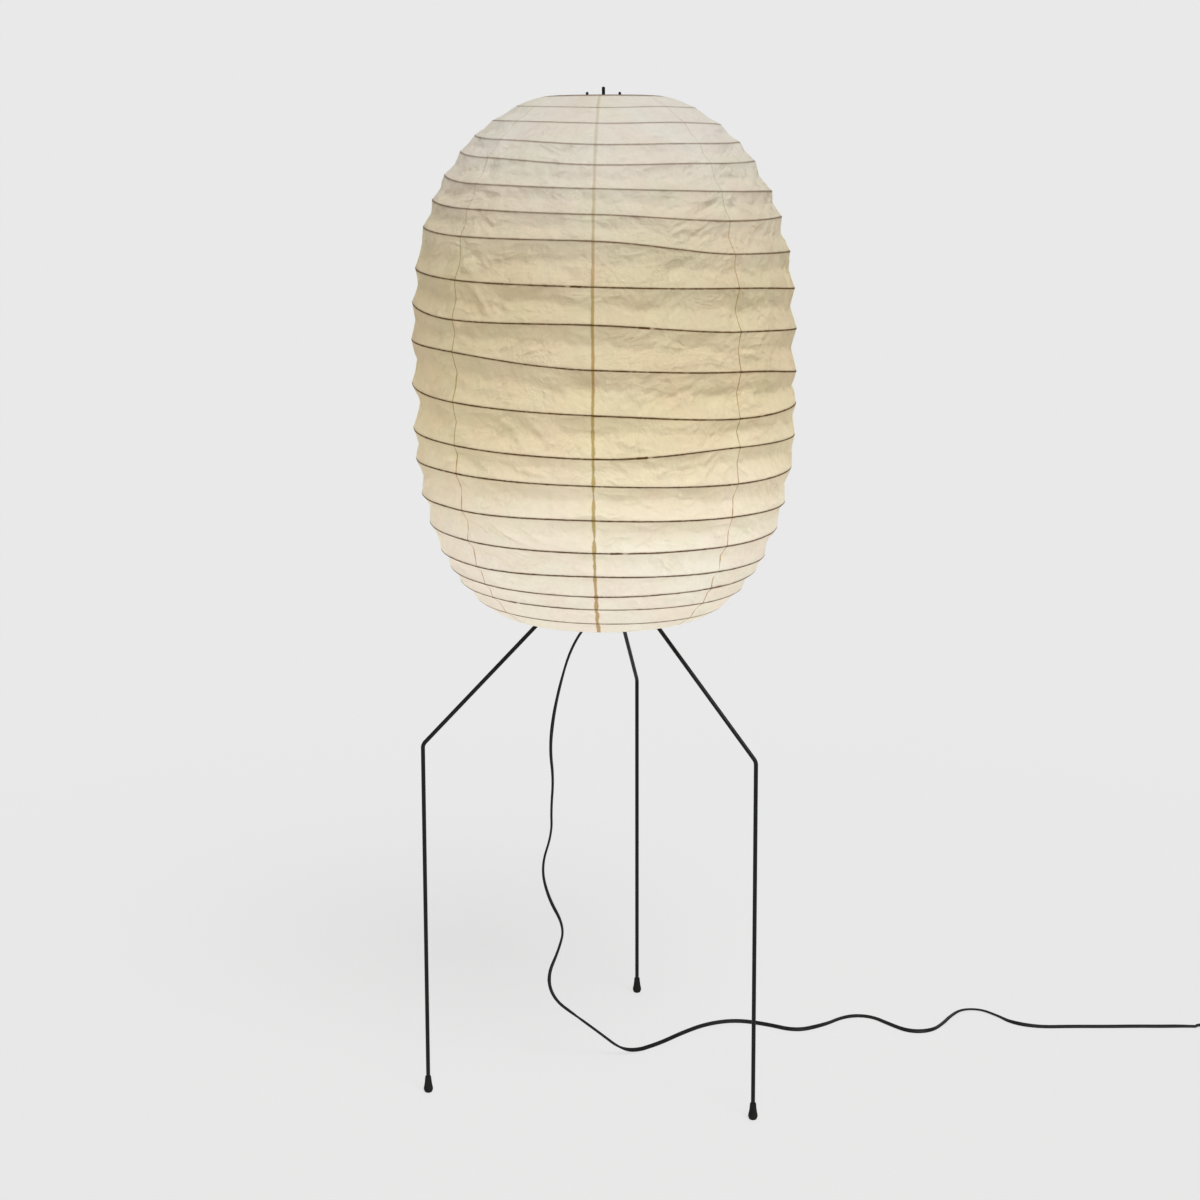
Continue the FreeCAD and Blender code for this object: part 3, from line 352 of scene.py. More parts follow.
def make_group(name: str, inputs: Iterable[tuple[str, str, object]], output: tuple[str, str],
               fill: Callable[[Graph, dict[str, Socket]], Socket]) -> bpy.types.NodeTree:
    """Make a shader node group.

    Args:
        name: the group's name.
        inputs: name, socket type and default of each input.
        output: name and socket type of the output.
        fill: lays out the nodes from the group's inputs to what it puts out.

    Returns:
        The group's tree.
    """
    tree = bpy.data.node_groups.new(name, "ShaderNodeTree")
    for label, kind, default in inputs:
        socket = tree.interface.new_socket(label, in_out="INPUT", socket_type=kind)
        if default is not None:
            socket.default_value = default
    tree.interface.new_socket(output[0], in_out="OUTPUT", socket_type=output[1])
    graph = Graph(tree)
    given = graph.add("NodeGroupInput").outputs
    result = fill(graph, {socket.name: socket for socket in given if socket.name})
    graph.add("NodeGroupOutput", {output[0]: result})
    return tree


def make_cloud_group() -> bpy.types.NodeTree:
    """Make the group that gives soft uneven patches.

    Returns:
        A group from a place and a scale to a mask.
    """
    def fill(graph: Graph, given: dict[str, Socket]) -> Socket:
        """Lay out the group's nodes."""
        cloud = graph.noise(given["Vector"], given["Scale"], 5.0, Roughness=0.6, Distortion=0.4)
        return graph.remap(cloud, (0.34, 0.66), (0.0, 1.0))

    return make_group("Cloud", [("Vector", "NodeSocketVector", None), ("Scale", "NodeSocketFloat", 40.0)],
                      ("Mask", "NodeSocketFloat"), fill)


def make_grain_group() -> bpy.types.NodeTree:
    """Make the group that roughens a surface with fine grain.

    Returns:
        A group from a place, a scale and a depth to a normal.
    """
    def fill(graph: Graph, given: dict[str, Socket]) -> Socket:
        """Lay out the group's nodes."""
        return graph.bump(graph.noise(given["Vector"], given["Scale"], 3.0, Roughness=0.55), given["Depth"])

    return make_group("Grain", [("Vector", "NodeSocketVector", None), ("Scale", "NodeSocketFloat", 900.0),
                                ("Depth", "NodeSocketFloat", 0.00004)],
                      ("Normal", "NodeSocketVector"), fill)


class Materials:
    """Makes every material once and hands it out by slot."""

    def __init__(self) -> None:
        """Make the shared groups."""
        self.cloud = make_cloud_group()
        self.grain = make_grain_group()
        self.made: dict[Slot, Material] = {}

    def get(self, slot: Slot) -> Material:
        """Give a slot's material.

        Args:
            slot: the slot it is for.

        Returns:
            Its material, made on the first call.
        """
        if slot not in self.made:
            special = {Slot.PAPER: self._paper, Slot.BAMBOO: self._bamboo, Slot.STRAP: self._strap,
                       Slot.BULB_GLASS: self._bulb_glass}
            self.made[slot] = special[slot]() if slot in special else self._plain(slot, FINISHES[slot])
        return self.made[slot]

    def _clouds(self, graph: Graph, place: Socket, scale: float) -> Socket:
        """Place the cloud group and give its mask."""
        inputs = {"Vector": place, "Scale": scale}
        return graph.add("ShaderNodeGroup", inputs, node_tree=self.cloud).outputs[0]

    def _grains(self, graph: Graph, place: Socket, scale: float, depth: float) -> Socket:
        """Place the grain group and give its normal."""
        inputs = {"Vector": place, "Scale": scale, "Depth": depth}
        return graph.add("ShaderNodeGroup", inputs, node_tree=self.grain).outputs[0]

    def _plain(self, slot: Slot, look: Finish) -> Material:
        """Make a two-toned, grained material.

        Args:
            slot: the slot it is for.
            look: its values.

        Returns:
            The material.
        """
        material, graph, shader, place = begin_material(slot.value)
        mask = self._clouds(graph, place, look.cloud_scale)
        stretched = graph.stretched(place, look.stretch)
        graph.feed(shader, {"Base Color": graph.blend(mask, look.tone, look.second),
                            "Roughness": graph.remap(mask, (0.0, 1.0), look.roughness),
                            "Normal": self._grains(graph, stretched, look.grain_scale, look.grain_depth),
                            "Metallic": look.metallic, "Specular IOR Level": look.specular})
        return material

    def _rib_lines(self, graph: Graph, look: PaperFinish, place: Socket,
                   fibre: Socket) -> tuple[Socket, Socket]:
        """Draw the ribs' lines with their splices and the upper rim, and the soft painted shadow beside the
        ribs.

        Args:
            graph: the paper's graph.
            look: its values.
            place: the place on the lantern.
            fibre: the noise that makes the lines uneven.

        Returns:
            How strongly the lines and the painted shadow show.
        """
        height = graph.axis(place, 2)
        waver = graph.times(graph.math("SUBTRACT", fibre, 0.5), look.rib_waver)
        reach = graph.math("ADD", graph.nearer("ribs"), waver)
        reach = graph.times(reach, graph.remap(height, *look.rib_narrowing))
        line = graph.times(graph.remap(reach, *look.rib_edge), graph.remap(height, *look.rib_strength))
        for spot, shift in SPLICES:
            line = graph.times(line, graph.remap(graph.away(place, spot), *look.splice_gap))
            end = (spot[0] + shift, spot[1], spot[2])
            thick = graph.times(graph.remap(graph.away(place, end), *look.splice_end),
                                graph.remap(reach, *look.splice_edge))
            line = graph.math("MAXIMUM", line, thick)
        line = graph.math("MAXIMUM", line, graph.remap(height, *look.rim_edge))
        # The second mask is painted shadow beside the ribs.
        return line, graph.remap(reach, *look.rib_painted_shadow_edge)

    def _seam_line(self, graph: Graph, look: PaperFinish, place: Socket) -> Socket:
        """Draw the seams' ragged lines.

        Args:
            graph: the paper's graph.
            look: its values.
            place: the place on the lantern.

        Returns:
            How strongly the lines show.
        """
        height = graph.axis(place, 2)
        ragged = graph.math("SUBTRACT", graph.noise(place, look.ragged_scale, 2.0), 0.5)
        ragged = graph.times(ragged, graph.remap(height, *look.seam_raggedness))
        reach = graph.math("ADD", graph.nearer("seams"), ragged)
        return graph.times(graph.remap(reach, *look.seam_edge), graph.remap(height, *look.seam_strength))

    def _relief(self, graph: Graph, look: PaperFinish, place: Socket, stains: Socket,
                fibre: Socket) -> Socket:
        """Crumple the paper's surface: flat facets and slanting ridges in patches, and its fibres.

        Args:
            graph: the paper's graph.
            look: its values.
            place: the place on the lantern.
            stains: the mask of the patches that have ridges.
            fibre: the noise of the fibres.

        Returns:
            The normal.
        """
        warp = graph.add("ShaderNodeTexNoise", {"Vector": place, "Scale": look.warp_scale, "Detail": 2.0})
        warped = graph.add("ShaderNodeVectorMath", {0: warp.outputs["Color"], 1: look.warp_reach, 2: place},
                           operation="MULTIPLY_ADD").outputs[0]
        facets = graph.add("ShaderNodeTexVoronoi", {"Vector": warped, "Scale": look.facet_scale,
                                                    "Detail": 2.0, "Roughness": 0.5}).outputs["Distance"]
        slanted = graph.add("ShaderNodeMapping", {"Vector": warped, "Rotation": (0.0, look.ridge_slant, 0.0),
                                                  "Scale": look.ridge_scale}).outputs[0]
        ridges = graph.add("ShaderNodeTexNoise", {"Vector": slanted, "Scale": 1.0, "Detail": 2.0,
                                                  "Roughness": 0.6, "Offset": 1.0, "Gain": 1.6},
                           noise_type="RIDGED_MULTIFRACTAL").outputs["Fac"]
        patches = self._clouds(graph, place, look.patch_scale)
        height = graph.times(fibre, look.fibre_depth)
        for pattern, mask, depth in ((facets, patches, look.facet_depth), (ridges, stains, look.ridge_depth)):
            height = graph.math("ADD", height, graph.times(pattern, graph.times(mask, depth)))
        return graph.bump(height, 1.0, look.relief_strength)

    def _paper(self) -> Material:
        """Make the creased, translucent paper with its rib and seam lines.

        Returns:
            The material.
        """
        look = PaperFinish()
        material, graph, shader, place = begin_material(Slot.PAPER.value)
        height = graph.axis(place, 2)
        fibre = graph.noise(place, look.fibre_scale, 8.0, Roughness=0.68, Distortion=1.2)
        stains = self._clouds(graph, place, look.stain_scale)
        tints = graph.remap(graph.noise(place, look.tint_scale, 3.0), *look.tint_mask)
        # Painted light: the paper is lighter towards the top and the foot.
        painted_light_tan_share = graph.times(graph.remap(height, *look.painted_light_top), graph.remap(height, *look.painted_light_foot))
        rib_line, rib_painted_shadow = self._rib_lines(graph, look, place, fibre)
        seam_line = self._seam_line(graph, look, place)
        layers = ((graph.times(graph.remap(fibre, *look.fleck_mask), look.fleck_share), look.fleck),
                  (graph.times(stains, look.stain_share), look.stain),
                  (look.tint_share, graph.blend(tints, *look.tints)))

        def lined(tones: tuple[Tone, Tone]) -> Socket:
            """Colour the sheet, with the ribs and seams drawn on it.

            Args:
                tones: its light and its tan tone, mixed by height as painted light.

            Returns:
                The socket that gives the colour.
            """
            tone = graph.blend(painted_light_tan_share, *tones)
            for share, layer in layers:
                tone = graph.blend(share, tone, layer, "MULTIPLY")
            tone = graph.blend(seam_line, tone, graph.blend(tints, *look.glue))
            # A soft brown painted shadow darkens the paper beside each rib.
            return graph.blend(rib_line, graph.blend(rib_painted_shadow, tone, look.rib_painted_shadow), look.rib)

        normal = self._relief(graph, look, place, stains, fibre)
        graph.feed(shader, {"Base Color": lined(look.front), "Normal": normal, "Roughness": look.roughness,
                            "Specular IOR Level": look.specular})
        through = graph.add("ShaderNodeBsdfTranslucent", {"Color": lined(look.through), "Normal": normal})
        graph.put_out(look.through_share, shader, through)
        return material

    def _bamboo(self) -> Material:
        """Make the split bamboo.

        Returns:
            The material.
        """
        look = BambooFinish()
        material, graph, shader, place = begin_material(Slot.BAMBOO.value)
        streaks = graph.noise(graph.stretched(place, look.streak_scale), 1.0, 4.0)
        graph.feed(shader, {"Base Color": graph.blend(graph.remap(streaks, *look.streak_mask), *look.tones),
                            "Normal": graph.bump(streaks, look.depth), "Roughness": look.roughness})
        return material

    def _strap(self) -> Material:
        """Make the woven strap.

        Returns:
            The material.
        """
        look = StrapFinish()
        material, graph, shader, place = begin_material(Slot.STRAP.value)
        inputs = {"Vector": place, "Scale": look.weave_scale, "Distortion": look.weave_bend}
        weft, warp = (graph.add("ShaderNodeTexWave", inputs, bands_direction=axis).outputs["Fac"]
                      for axis in "XY")
        weave = graph.times(weft, warp)
        graph.feed(shader, {"Base Color": graph.blend(weave, *look.tones), "Roughness": look.roughness,
                            "Normal": graph.bump(weave, look.depth)})
        return material

    def _bulb_glass(self) -> Material:
        """Make the frosted glass of the bulb, alight.

        Returns:
            The material.
        """
        look = GlassFinish()
        material, graph, shader, place = begin_material(Slot.BULB_GLASS.value)
        frost = self._clouds(graph, place, look.frost_scale)
        graph.feed(shader, {"Base Color": graph.blend(frost, *look.tones), "Roughness": look.roughness,
                            "Normal": self._grains(graph, place, look.grain_scale, look.grain_depth),
                            "Emission Color": (*look.glow, 1.0), "Emission Strength": look.glow_strength})
        return material


# ---- Numbers ----
def limited(value: float, low: float = 0.0, high: float = 1.0) -> float:
    """Keep a value between two limits."""
    return min(max(value, low), high)


def eased(share: float) -> float:
    """Ease a share in and out, from 0 to 1."""
    return share * share * (3 - 2 * share)


def wavering(across: float, up: float, cell: Span, layer: float) -> float:
    """Read a smooth noise on one of its layers, with cells of the given width and height."""
    return noise.noise(Vector((across / cell[0], up / cell[1], layer)))


def read_stops(stops: Sequence[Span], place: float) -> float:
    """Read a value smoothly between its stops.

    Args:
        stops: (place, value) pairs in order.
        place: where it is read.

    Returns:
        The value there.
    """
    for (before, start), (after, end) in zip(stops, stops[1:]):
        if place <= after:
            return start + (end - start) * eased(limited((place - before) / (after - before)))
    return stops[-1][1]


def run_lengths(points: Sequence[Vector]) -> list[float]:
    """Measure along a line.

    Args:
        points: the line's points.

    Returns:
        The length of the line up to each point.
    """
    lengths = [0.0]
    for before, after in zip(points, points[1:]):
        lengths.append(lengths[-1] + (after - before).length)
    return lengths


# ---- Mesh helpers: reaches in metres, angles in degrees ----
MERGE_REACH = 1e-6
CAD_MERGE_REACH = 2e-6
FLAT_ANGLE = 0.2
SHARP_ANGLE = 32.0


def link_mesh(name: str, mesh: Mesh, material: Material) -> Piece:
    """Turn a finished mesh into a smoothly shaded object in the scene.

    Args:
        name: the object's name.
        mesh: its mesh, which is freed.
        material: its material.

    Returns:
        The new object.
    """
    data = bpy.data.meshes.new(name)
    for face in mesh.faces:
        face.smooth = True
    mesh.to_mesh(data)
    mesh.free()
    data.materials.append(material)
    made = bpy.data.objects.new(name, data)
    bpy.context.scene.collection.objects.link(made)
    return made


def new_piece(name: str, mesh: Mesh, body: Body, slot: Slot, materials: Materials) -> Piece:
    """Turn a finished mesh into a piece that rides on a body.

    Args:
        name: the piece's name.
        mesh: its mesh, which is freed.
        body: the body it rides on.
        slot: its material slot.
        materials: where its material comes from.

    Returns:
        The new object.
    """
    piece = link_mesh(name, mesh, materials.get(slot))
    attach(piece, body.value)
    LOG.info("%s: %d faces, on %s", name, len(piece.data.polygons), body.value)
    return piece


def grid_mesh(rows: Sequence[Sequence[Vector]]) -> Mesh:
    """Lay an open grid over rows of points.

    Args:
        rows: the rows from one side to the other, all equally long.

    Returns:
        The mesh.
    """
    mesh = bmesh.new()
    bmesh.ops.create_grid(mesh, x_segments=len(rows[0]) - 1, y_segments=len(rows) - 1, size=1.0)
    for vertex, point in zip(mesh.verts, [point for row in rows for point in row]):
        vertex.co = point
    return mesh


def tube_mesh(rings: Sequence[Sequence[Vector]]) -> Mesh:
    """Lay a tube over rings of points, with both ends filled.

    Args:
        rings: the rings from one end to the other, all equally long.

    Returns:
        The mesh.
    """
    mesh = grid_mesh([[*ring, ring[0]] for ring in rings])
    bmesh.ops.remove_doubles(mesh, verts=mesh.verts, dist=1e-7)
    bmesh.ops.holes_fill(mesh, edges=[edge for edge in mesh.edges if edge.is_boundary], sides=0)
    bmesh.ops.recalc_face_normals(mesh, faces=mesh.faces)
    return mesh


def spun(outline: Sequence[Span], centre: Vector, steps: int) -> Mesh:
    """Turn an outline about an upright axis.

    Args:
        outline: (radius, height) corners, from below upwards.
        centre: where the axis stands.
        steps: how many sides the result has.

    Returns:
        The mesh.
    """
    mesh = bmesh.new()
    corners = [mesh.verts.new(centre + Vector((radius, 0.0, height))) for radius, height in outline]
    edges = [mesh.edges.new(pair) for pair in zip(corners, corners[1:])]
    bmesh.ops.spin(mesh, geom=corners + edges, cent=centre, axis=(0.0, 0.0, 1.0), angle=2 * math.pi,
                   steps=steps, use_merge=True, use_duplicate=False)
    bmesh.ops.remove_doubles(mesh, verts=mesh.verts, dist=MERGE_REACH)
    bmesh.ops.recalc_face_normals(mesh, faces=mesh.faces)
    return mesh


def rounded(corners: Sequence[Point], steps: int = 6) -> list[Span]:
    """Round the corners of an outline.

    Args:
        corners: (radius, height, rounding) of each corner.
        steps: points on each rounded corner.

    Returns:
        The outline with its corners rounded.
    """
    outline: list[Span] = []
    for index, (radius, height, rounding) in enumerate(corners):
        if rounding <= 0 or index in (0, len(corners) - 1):
            outline.append((radius, height))
            continue
        here = Vector((radius, height))
        before, after = ((Vector(corners[index + side][:2]) - here).normalized() * rounding + here
                         for side in (-1, 1))
        for step in range(steps + 1):
            share = step / steps
            point = before.lerp(here, share).lerp(here.lerp(after, share), share)
            outline.append((point.x, point.y))
    return outline


def dress(node: str, body: Body, slot: Slot, materials: Materials) -> Piece:
    """Stand a smoothly shaded copy in for a solid whose shape is right.

    Args:
        node: the solid.
        body: the body it rides on.
        slot: its material slot.
        materials: where its material comes from.

    Returns:
        The copy.
    """
    mesh = bmesh.new()
    mesh.from_mesh(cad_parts[node].data)
    bmesh.ops.remove_doubles(mesh, verts=mesh.verts, dist=CAD_MERGE_REACH)
    bmesh.ops.dissolve_limit(mesh, angle_limit=math.radians(FLAT_ANGLE), verts=mesh.verts, edges=mesh.edges)
    limit = math.radians(SHARP_ANGLE)
    for edge in mesh.edges:
        edge.smooth = not (len(edge.link_faces) == 2 and edge.calc_face_angle(0.0) > limit)
    piece = new_piece(f"{node}_finished", mesh, body, slot, materials)
    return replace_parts(piece, node)


# ---- Lantern ----
@dataclass(frozen=True)
class LanternSize:
    """Sizes of the lantern, in millimetres and degrees."""

    top: float = 1537.0
    drops: tuple[float, ...] = (
        19, 21, 26, 26.5, 34.8, 35.4, 39.3, 59.6, 53.3, 60.7, 59.5, 59.2, 43.2, 52.1, 45.2, 39.8, 28.5, 24.2,
        27, 23)
    rise_azimuths: tuple[float, ...] = (0, 90, 138, 183, 230, 270, 363.3)
    rises: tuple[tuple[float, ...], ...] = (
        (6, 4, 0, 0, 0), (4, 3, -1, 0, 0), (5, 0, -4, 0, 4), (6, 0, -5, 1, 7), (-2, -3, -2, -1, 7),
        (-3, -8, -1, 0, 6), (-10, -12, 3, 0, 4), (-5, 1, 1, -2, 0), (-10, -6, 3, -4, 4), (-13, -1, 2, 11, 8),
        (0, -8, -1, -1, 2), (8, 9, -3, -3, -5), (3, -1, 2, 0, -6), (0, 2, 4, -3, -9), (5, 2, 0, -3, -6),
        (-1, 1, 3, -3, -6), (4, 1, -2, -2, -2), (0, 0, 0, 0, 0), (0, 0, 0, 0, 0))
    top_rim_radius: float = 76.0
    belly_radius: float = 290.3
    bottom_rim_radius: float = 145.0
    belly_drop: float = 435.0
    shoulder_fullness: float = 3.3
    foot_fullness: float = 2.6
    edge_fullness: float = 1.6
    gores: int = 8
    seam_azimuth: float = 3.3
    crease_slack: float = 1.03
    columns: int = 90
    rows_per_band: int = 24
    rib_width: float = 1.8
    rib_thickness: float = 1.4
    rib_inset: float = 0.9
    rib_steps: int = 96
    rib_sides: int = 8
    ring_wire: float = 3.0
    ring_inset: float = 1.1
    ring_sides: int = 128


@dataclass(frozen=True)
class FoldSize:
    """Sizes of the folds in the paper, in millimetres, degrees and shares.

    A sway is (its size, the length it changes over), and for a seam also the layer of noise that it reads.
    A fold is (length, width, depth), and a patch or cell is (width, height).
    """

    crease_place: float = 0.45
    crease_depth: float = 0.14
    crease_sways: tuple[Span, ...] = ((0.14, 60.0), (0.10, 21.0), (0.06, 8.0))
    crease_depth_sway: Span = (0.9, 70.0)
    crease_round: float = 0.04
    band_phase: float = 3.7
    billow: Span = (1.7, 48.0)
    billow_phase: float = 1.3
    fullness: float = 0.95
    tight_rim: float = 26.0
    tight_top: float = 130.0
    tight_foot: float = 70.0
    least_loose: float = 0.12
    seam_hold: float = 9.0
    full_band: float = 45.0
    least_crumpled: float = 0.15
    fans: tuple[Point, ...] = ((105.0, 36.0, 4.4), (46.0, 16.0, -3.1), (22.0, 9.0, 1.7))
    fan_lean: float = 33.0
    fan_bend: float = 22.0
    fan_bend_cell: Span = (90.0, 60.0)
    fan_strength: Point = (0.40, 1.1, 1.9)
    fan_limits: Span = (0.15, 2.3)
    fan_patch: Span = (95.0, 55.0)
    level_fold: Point = (40.0, 15.0, 2.4)
    level_strength: Span = (1.6, 0.25)
    level_patch: Span = (140.0, 80.0)
    mean_distance: float = 0.45
    rim_ripple: Span = (0.45, 2.1)
    lap_hold: float = 20.0
    seam_sways: tuple[Point, ...] = ((3.4, 75.0, 0.0), (1.3, 17.0, 8.0))
    front_seam_sway: float = 0.25
    fine_seam: float = 2.4


class Lantern:
    """The shade: eight paper gores on one bamboo spiral between two wire rings."""

    def __init__(self, size: LanternSize, folds: FoldSize, materials: Materials) -> None:
        """Keep the sizes and work out where the spiral crosses the front.

        Args:
            size: the lantern's sizes.
            folds: the sizes of the folds in its paper.
            materials: where its materials come from.
        """
        self.size = size
        self.folds = folds
        self.materials = materials
        self.heights = [size.top]
        for drop in size.drops:
            self.heights.append(self.heights[-1] - drop)
        self.bottom = self.heights[-1]
        self.belly = size.top - size.belly_drop

    def radius(self, height: float) -> float:
        """Give the lantern's radius.

        Args:
            height: the height, in millimetres.

        Returns:
            The radius there, in millimetres.
        """
        size = self.size
        if height >= self.belly:
            share, rim, fullness = height - self.belly, size.top_rim_radius, size.shoulder_fullness
            share /= size.belly_drop
        else:
            share, rim, fullness = self.belly - height, size.bottom_rim_radius, size.foot_fullness
            share /= self.belly - self.bottom
        return rim + (size.belly_radius - rim) * (1 - min(share, 1.0) ** fullness) ** (1 / size.edge_fullness)

    def _facing(self, share: float) -> Vector:
        """Give the level direction outwards at an azimuth, the share of a turn from the back seam."""
        azimuth = math.radians(-360 * share + self.size.seam_azimuth)
        return Vector((math.sin(azimuth), math.cos(azimuth), 0.0))

    def _between(self, values: Sequence[float], turn: float) -> float:
        """Read a list smoothly between its entries.

        Args:
            values: one value for each front crossing of the spiral.
            turn: the place along the list.

        Returns:
            The value there.
        """
        index = max(min(int(turn), len(values) - 2), 0)
        part = turn - index
        before, start = values[max(index - 1, 0)], values[index]
        end, after = values[index + 1], values[min(index + 2, len(values) - 1)]
        rise, fall = (end - before) / 2, (after - start) / 2
        return ((2 * part ** 3 - 3 * part ** 2 + 1) * start + (part ** 3 - 2 * part ** 2 + part) * rise
                + (3 * part ** 2 - 2 * part ** 3) * end + (part ** 3 - part ** 2) * fall)

    def _rise(self, turns: float) -> float:
        """Give how far a hand-bent rib lies above its even course.

        Args:
            turns: place along the spiral, in turns.

        Returns:
            The rise, in millimetres.
        """
        size = self.size
        turn = min(int(turns), len(size.rises) - 1)
        azimuth = 360 * (1 - turns + turn) + size.seam_azimuth
        return read_stops(list(zip(size.rise_azimuths, (0, *size.rises[turn], 0))), azimuth)

    def spiral(self, turns: float) -> Span:
        """Give a point of the spiral.

        Args:
            turns: how many turns it is from the start at the back.

        Returns:
            Radius and height, in millimetres.
        """
        height = self._between(self.heights, turns + 0.5) + self._rise(turns)
        height = limited(height, self.bottom, self.size.top)
        return self.radius(height), height

    def rib(self, share: float, index: int) -> Span:
        """Give one rib down an azimuth, the rims counted as the first and the last.

        Args:
            share: the azimuth, as the share of a turn from the back seam.
            index: which rib.

        Returns:
            Radius and height, in millimetres.
        """
        if index == 0:
            return self.size.top_rim_radius, self.size.top
        if index == len(self.size.drops):
            return self.size.bottom_rim_radius, self.bottom
        return self.spiral(index - 1 + share)

    def _crease(self, down: float, spot: Vector, phase: Vector) -> float:
        """Give how deep the band's crease is.

        Args:
            down: how far down the band, from 0 to 1.
            spot: the place round the lantern.
            phase: the band's own shift of the noise.

        Returns:
            The depth, as a share of the band's width.
        """
        folds = self.folds
        place = folds.crease_place + sum(sway * noise.noise(spot / length + phase)
                                         for sway, length in folds.crease_sways)
        sway, length = folds.crease_depth_sway
        depth = folds.crease_depth * (1.0 + sway * noise.noise(spot / length - phase))
        rise = down / place if down < place else (1 - down) / (1 - place)
        soft = folds.crease_round
        return depth * max(math.hypot(1.0, soft) - math.hypot(1 - rise, soft), 0.0)

    def _crumple(self, arc: float, height: float, index: int, near: float) -> float:
        """Give how far crumpling moves the paper inwards.

        The folds fan out from every second seam.

        Args:
            arc: place around the lantern, in millimetres.
            height: height, in millimetres.
            index: which gore.
            near: closeness to the seam that the folds start from, from 0 to 1.

        Returns:
            The move, in millimetres.
        """
        folds = self.folds
        least, by_seam, by_patch = folds.fan_strength
        patch = wavering(arc, height, folds.fan_patch, 11.0 * index)
        lean = math.radians(folds.fan_lean if index % 2 == 0 else -folds.fan_lean)
        bend = folds.fan_bend * wavering(arc, height, folds.fan_bend_cell, 5.0 + index)
        along = arc * math.cos(lean) + height * math.sin(lean)
        across = height * math.cos(lean) - arc * math.sin(lean) + bend
        move = 0.0
        for length, width, depth in folds.fans:
            nearest = noise.voronoi(Vector((along / length, across / width, 7.0 * index)))[0][0]
            move += depth * (nearest - folds.mean_distance)
        gain, start = folds.level_strength
        level = limited(gain * wavering(arc, height, folds.level_patch, 3.0 * index) + start)
        length, width, depth = folds.level_fold
        nearest = noise.voronoi(Vector((arc / length, height / width, 2.0 * index)))[0][0]
        move += level * depth * (nearest - folds.mean_distance)
        return limited(least + by_seam * near + by_patch * patch, *folds.fan_limits) * move

    def paper(self, share: float, band: int, down: float, index: int, across: float) -> Vector:
        """Give a point of the paper.

        Args:
            share: the azimuth, as the share of a turn from the back seam.
            band: which band, counted from the top.
            down: how far down the band, from 0 to 1.
            index: which gore.
            across: how far across the gore, from 0 to 1.

        Returns:
            The point, in metres.
        """
        size, folds = self.size, self.folds
        upper, lower = Vector(self.rib(share, band)), Vector(self.rib(share, band + 1))
        chord = lower - upper
        inward = Vector((chord.y, -chord.x)).normalized()
        base = upper + chord * down
        if band in (0, len(size.drops) - 1):
            base.x = self.radius(base.y)
        facing = self._facing(share)
        spot = facing * base.x
        phase = Vector((0.0, 0.0, folds.band_phase * (band + share)))
        arc = share * 2 * math.pi * base.x
        from_top, from_foot = size.top - base.y, base.y - self.bottom
        loose = limited(from_top / folds.tight_top) * limited(from_foot / folds.tight_foot, folds.least_loose)
        if band <= 1 or band >= len(size.drops) - 2:
            loose *= min(folds.lap_hold * min(share, 1 - share), 1.0)
        free = math.sin(math.pi * down) ** folds.fullness
        reach = 2 * math.pi * base.x / size.gores
        held = min(min(across, 1 - across) * reach / folds.seam_hold, 1.0)
        near = 1 - across if index % 2 else across
        billow, length = folds.billow
        move = self._crease(down, spot, phase) * chord.length * loose
        move += billow * free * loose * noise.noise(spot / length + phase * folds.billow_phase)
        crumpled = folds.least_crumpled + (1 - folds.least_crumpled) * loose
        move += (free * held * crumpled * min(chord.length / folds.full_band, 1.0)
                 * self._crumple(arc, base.y, index, near))
        rim = min(sum(max(1 - away / folds.tight_rim, 0.0) for away in (from_top, from_foot)), 1.0)
        ripple, length = folds.rim_ripple
        move += ripple * rim * free * held * math.sin(arc / length)
        point = base + inward * move
        return (facing * point.x + Vector((0.0, 0.0, point.y))) * MM

    def _seam_share(self, seam: int, height: float) -> float:
        """Give the azimuth of a wavy seam.

        Args:
            seam: which seam.
            height: height, in millimetres.

        Returns:
            The azimuth, as the share of a turn from the back seam.
        """
        if seam % self.size.gores == 0:
            return seam / self.size.gores
        sway = sum(reach * noise.noise(Vector((height / length, 4.0 * seam, layer)))
                   for reach, length, layer in self.folds.seam_sways)
        amount = self.folds.front_seam_sway if seam == self.size.gores // 2 else 1.0
        return seam / self.size.gores + amount * sway / (2 * math.pi * self.radius(height))

    def _seam_point(self, seam: int, band: int, down: float) -> Point:
        """Give a point of a seam.

        Args:
            seam: which seam.
            band: which band, counted from the top.
            down: how far down the band, from 0 to 1.

        Returns:
            Its azimuth as the share of a turn from the back seam, its height and the band's width there.
        """
        nominal = seam / self.size.gores
        upper, lower = Vector(self.rib(nominal, band)), Vector(self.rib(nominal, band + 1))
        height = upper.lerp(lower, down).y
        return self._seam_share(seam, height), height, (lower - upper).length

    def _gore(self, index: int) -> Piece:
        """Make one gore.

        Args:
            index: which gore, from 0.

        Returns:
            The piece.
        """
        size = self.size
        bands = len(size.drops)
        fineness = [1.0 if seam % (size.gores // 2) == 0 else self.folds.fine_seam
                    for seam in (index, index + 1)]
        rows, marks = [], []
        for line in range(bands * size.rows_per_band + 1):
            band = min(line // size.rows_per_band, bands - 1)
            down = line / size.rows_per_band - band
            left = self._seam_point(index, band, down)[0]
            right, height, width = self._seam_point(index + 1, band, down)
            girth = 2 * math.pi * self.radius(height)
            row, mark = [], []
            for column in range(size.columns + 1):
                across = column / size.columns
                share = left + across * (right - left)
                row.append(self.paper(share, band, down, index, across))
                mark.append((width * MM, (share - left) * girth * fineness[0] * MM,
                             (right - share) * girth * fineness[1] * MM))
            rows.append(row)
            marks.append(mark)
        mesh = grid_mesh(rows)
        self._mark(mesh, marks)
        bmesh.ops.reverse_faces(mesh, faces=mesh.faces)
        piece = new_piece(f"paper_gore_{index + 1}_sheet", mesh, Body.SHADE, Slot.PAPER, self.materials)
        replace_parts(piece, f"paper_gore_{index + 1}")
        return piece

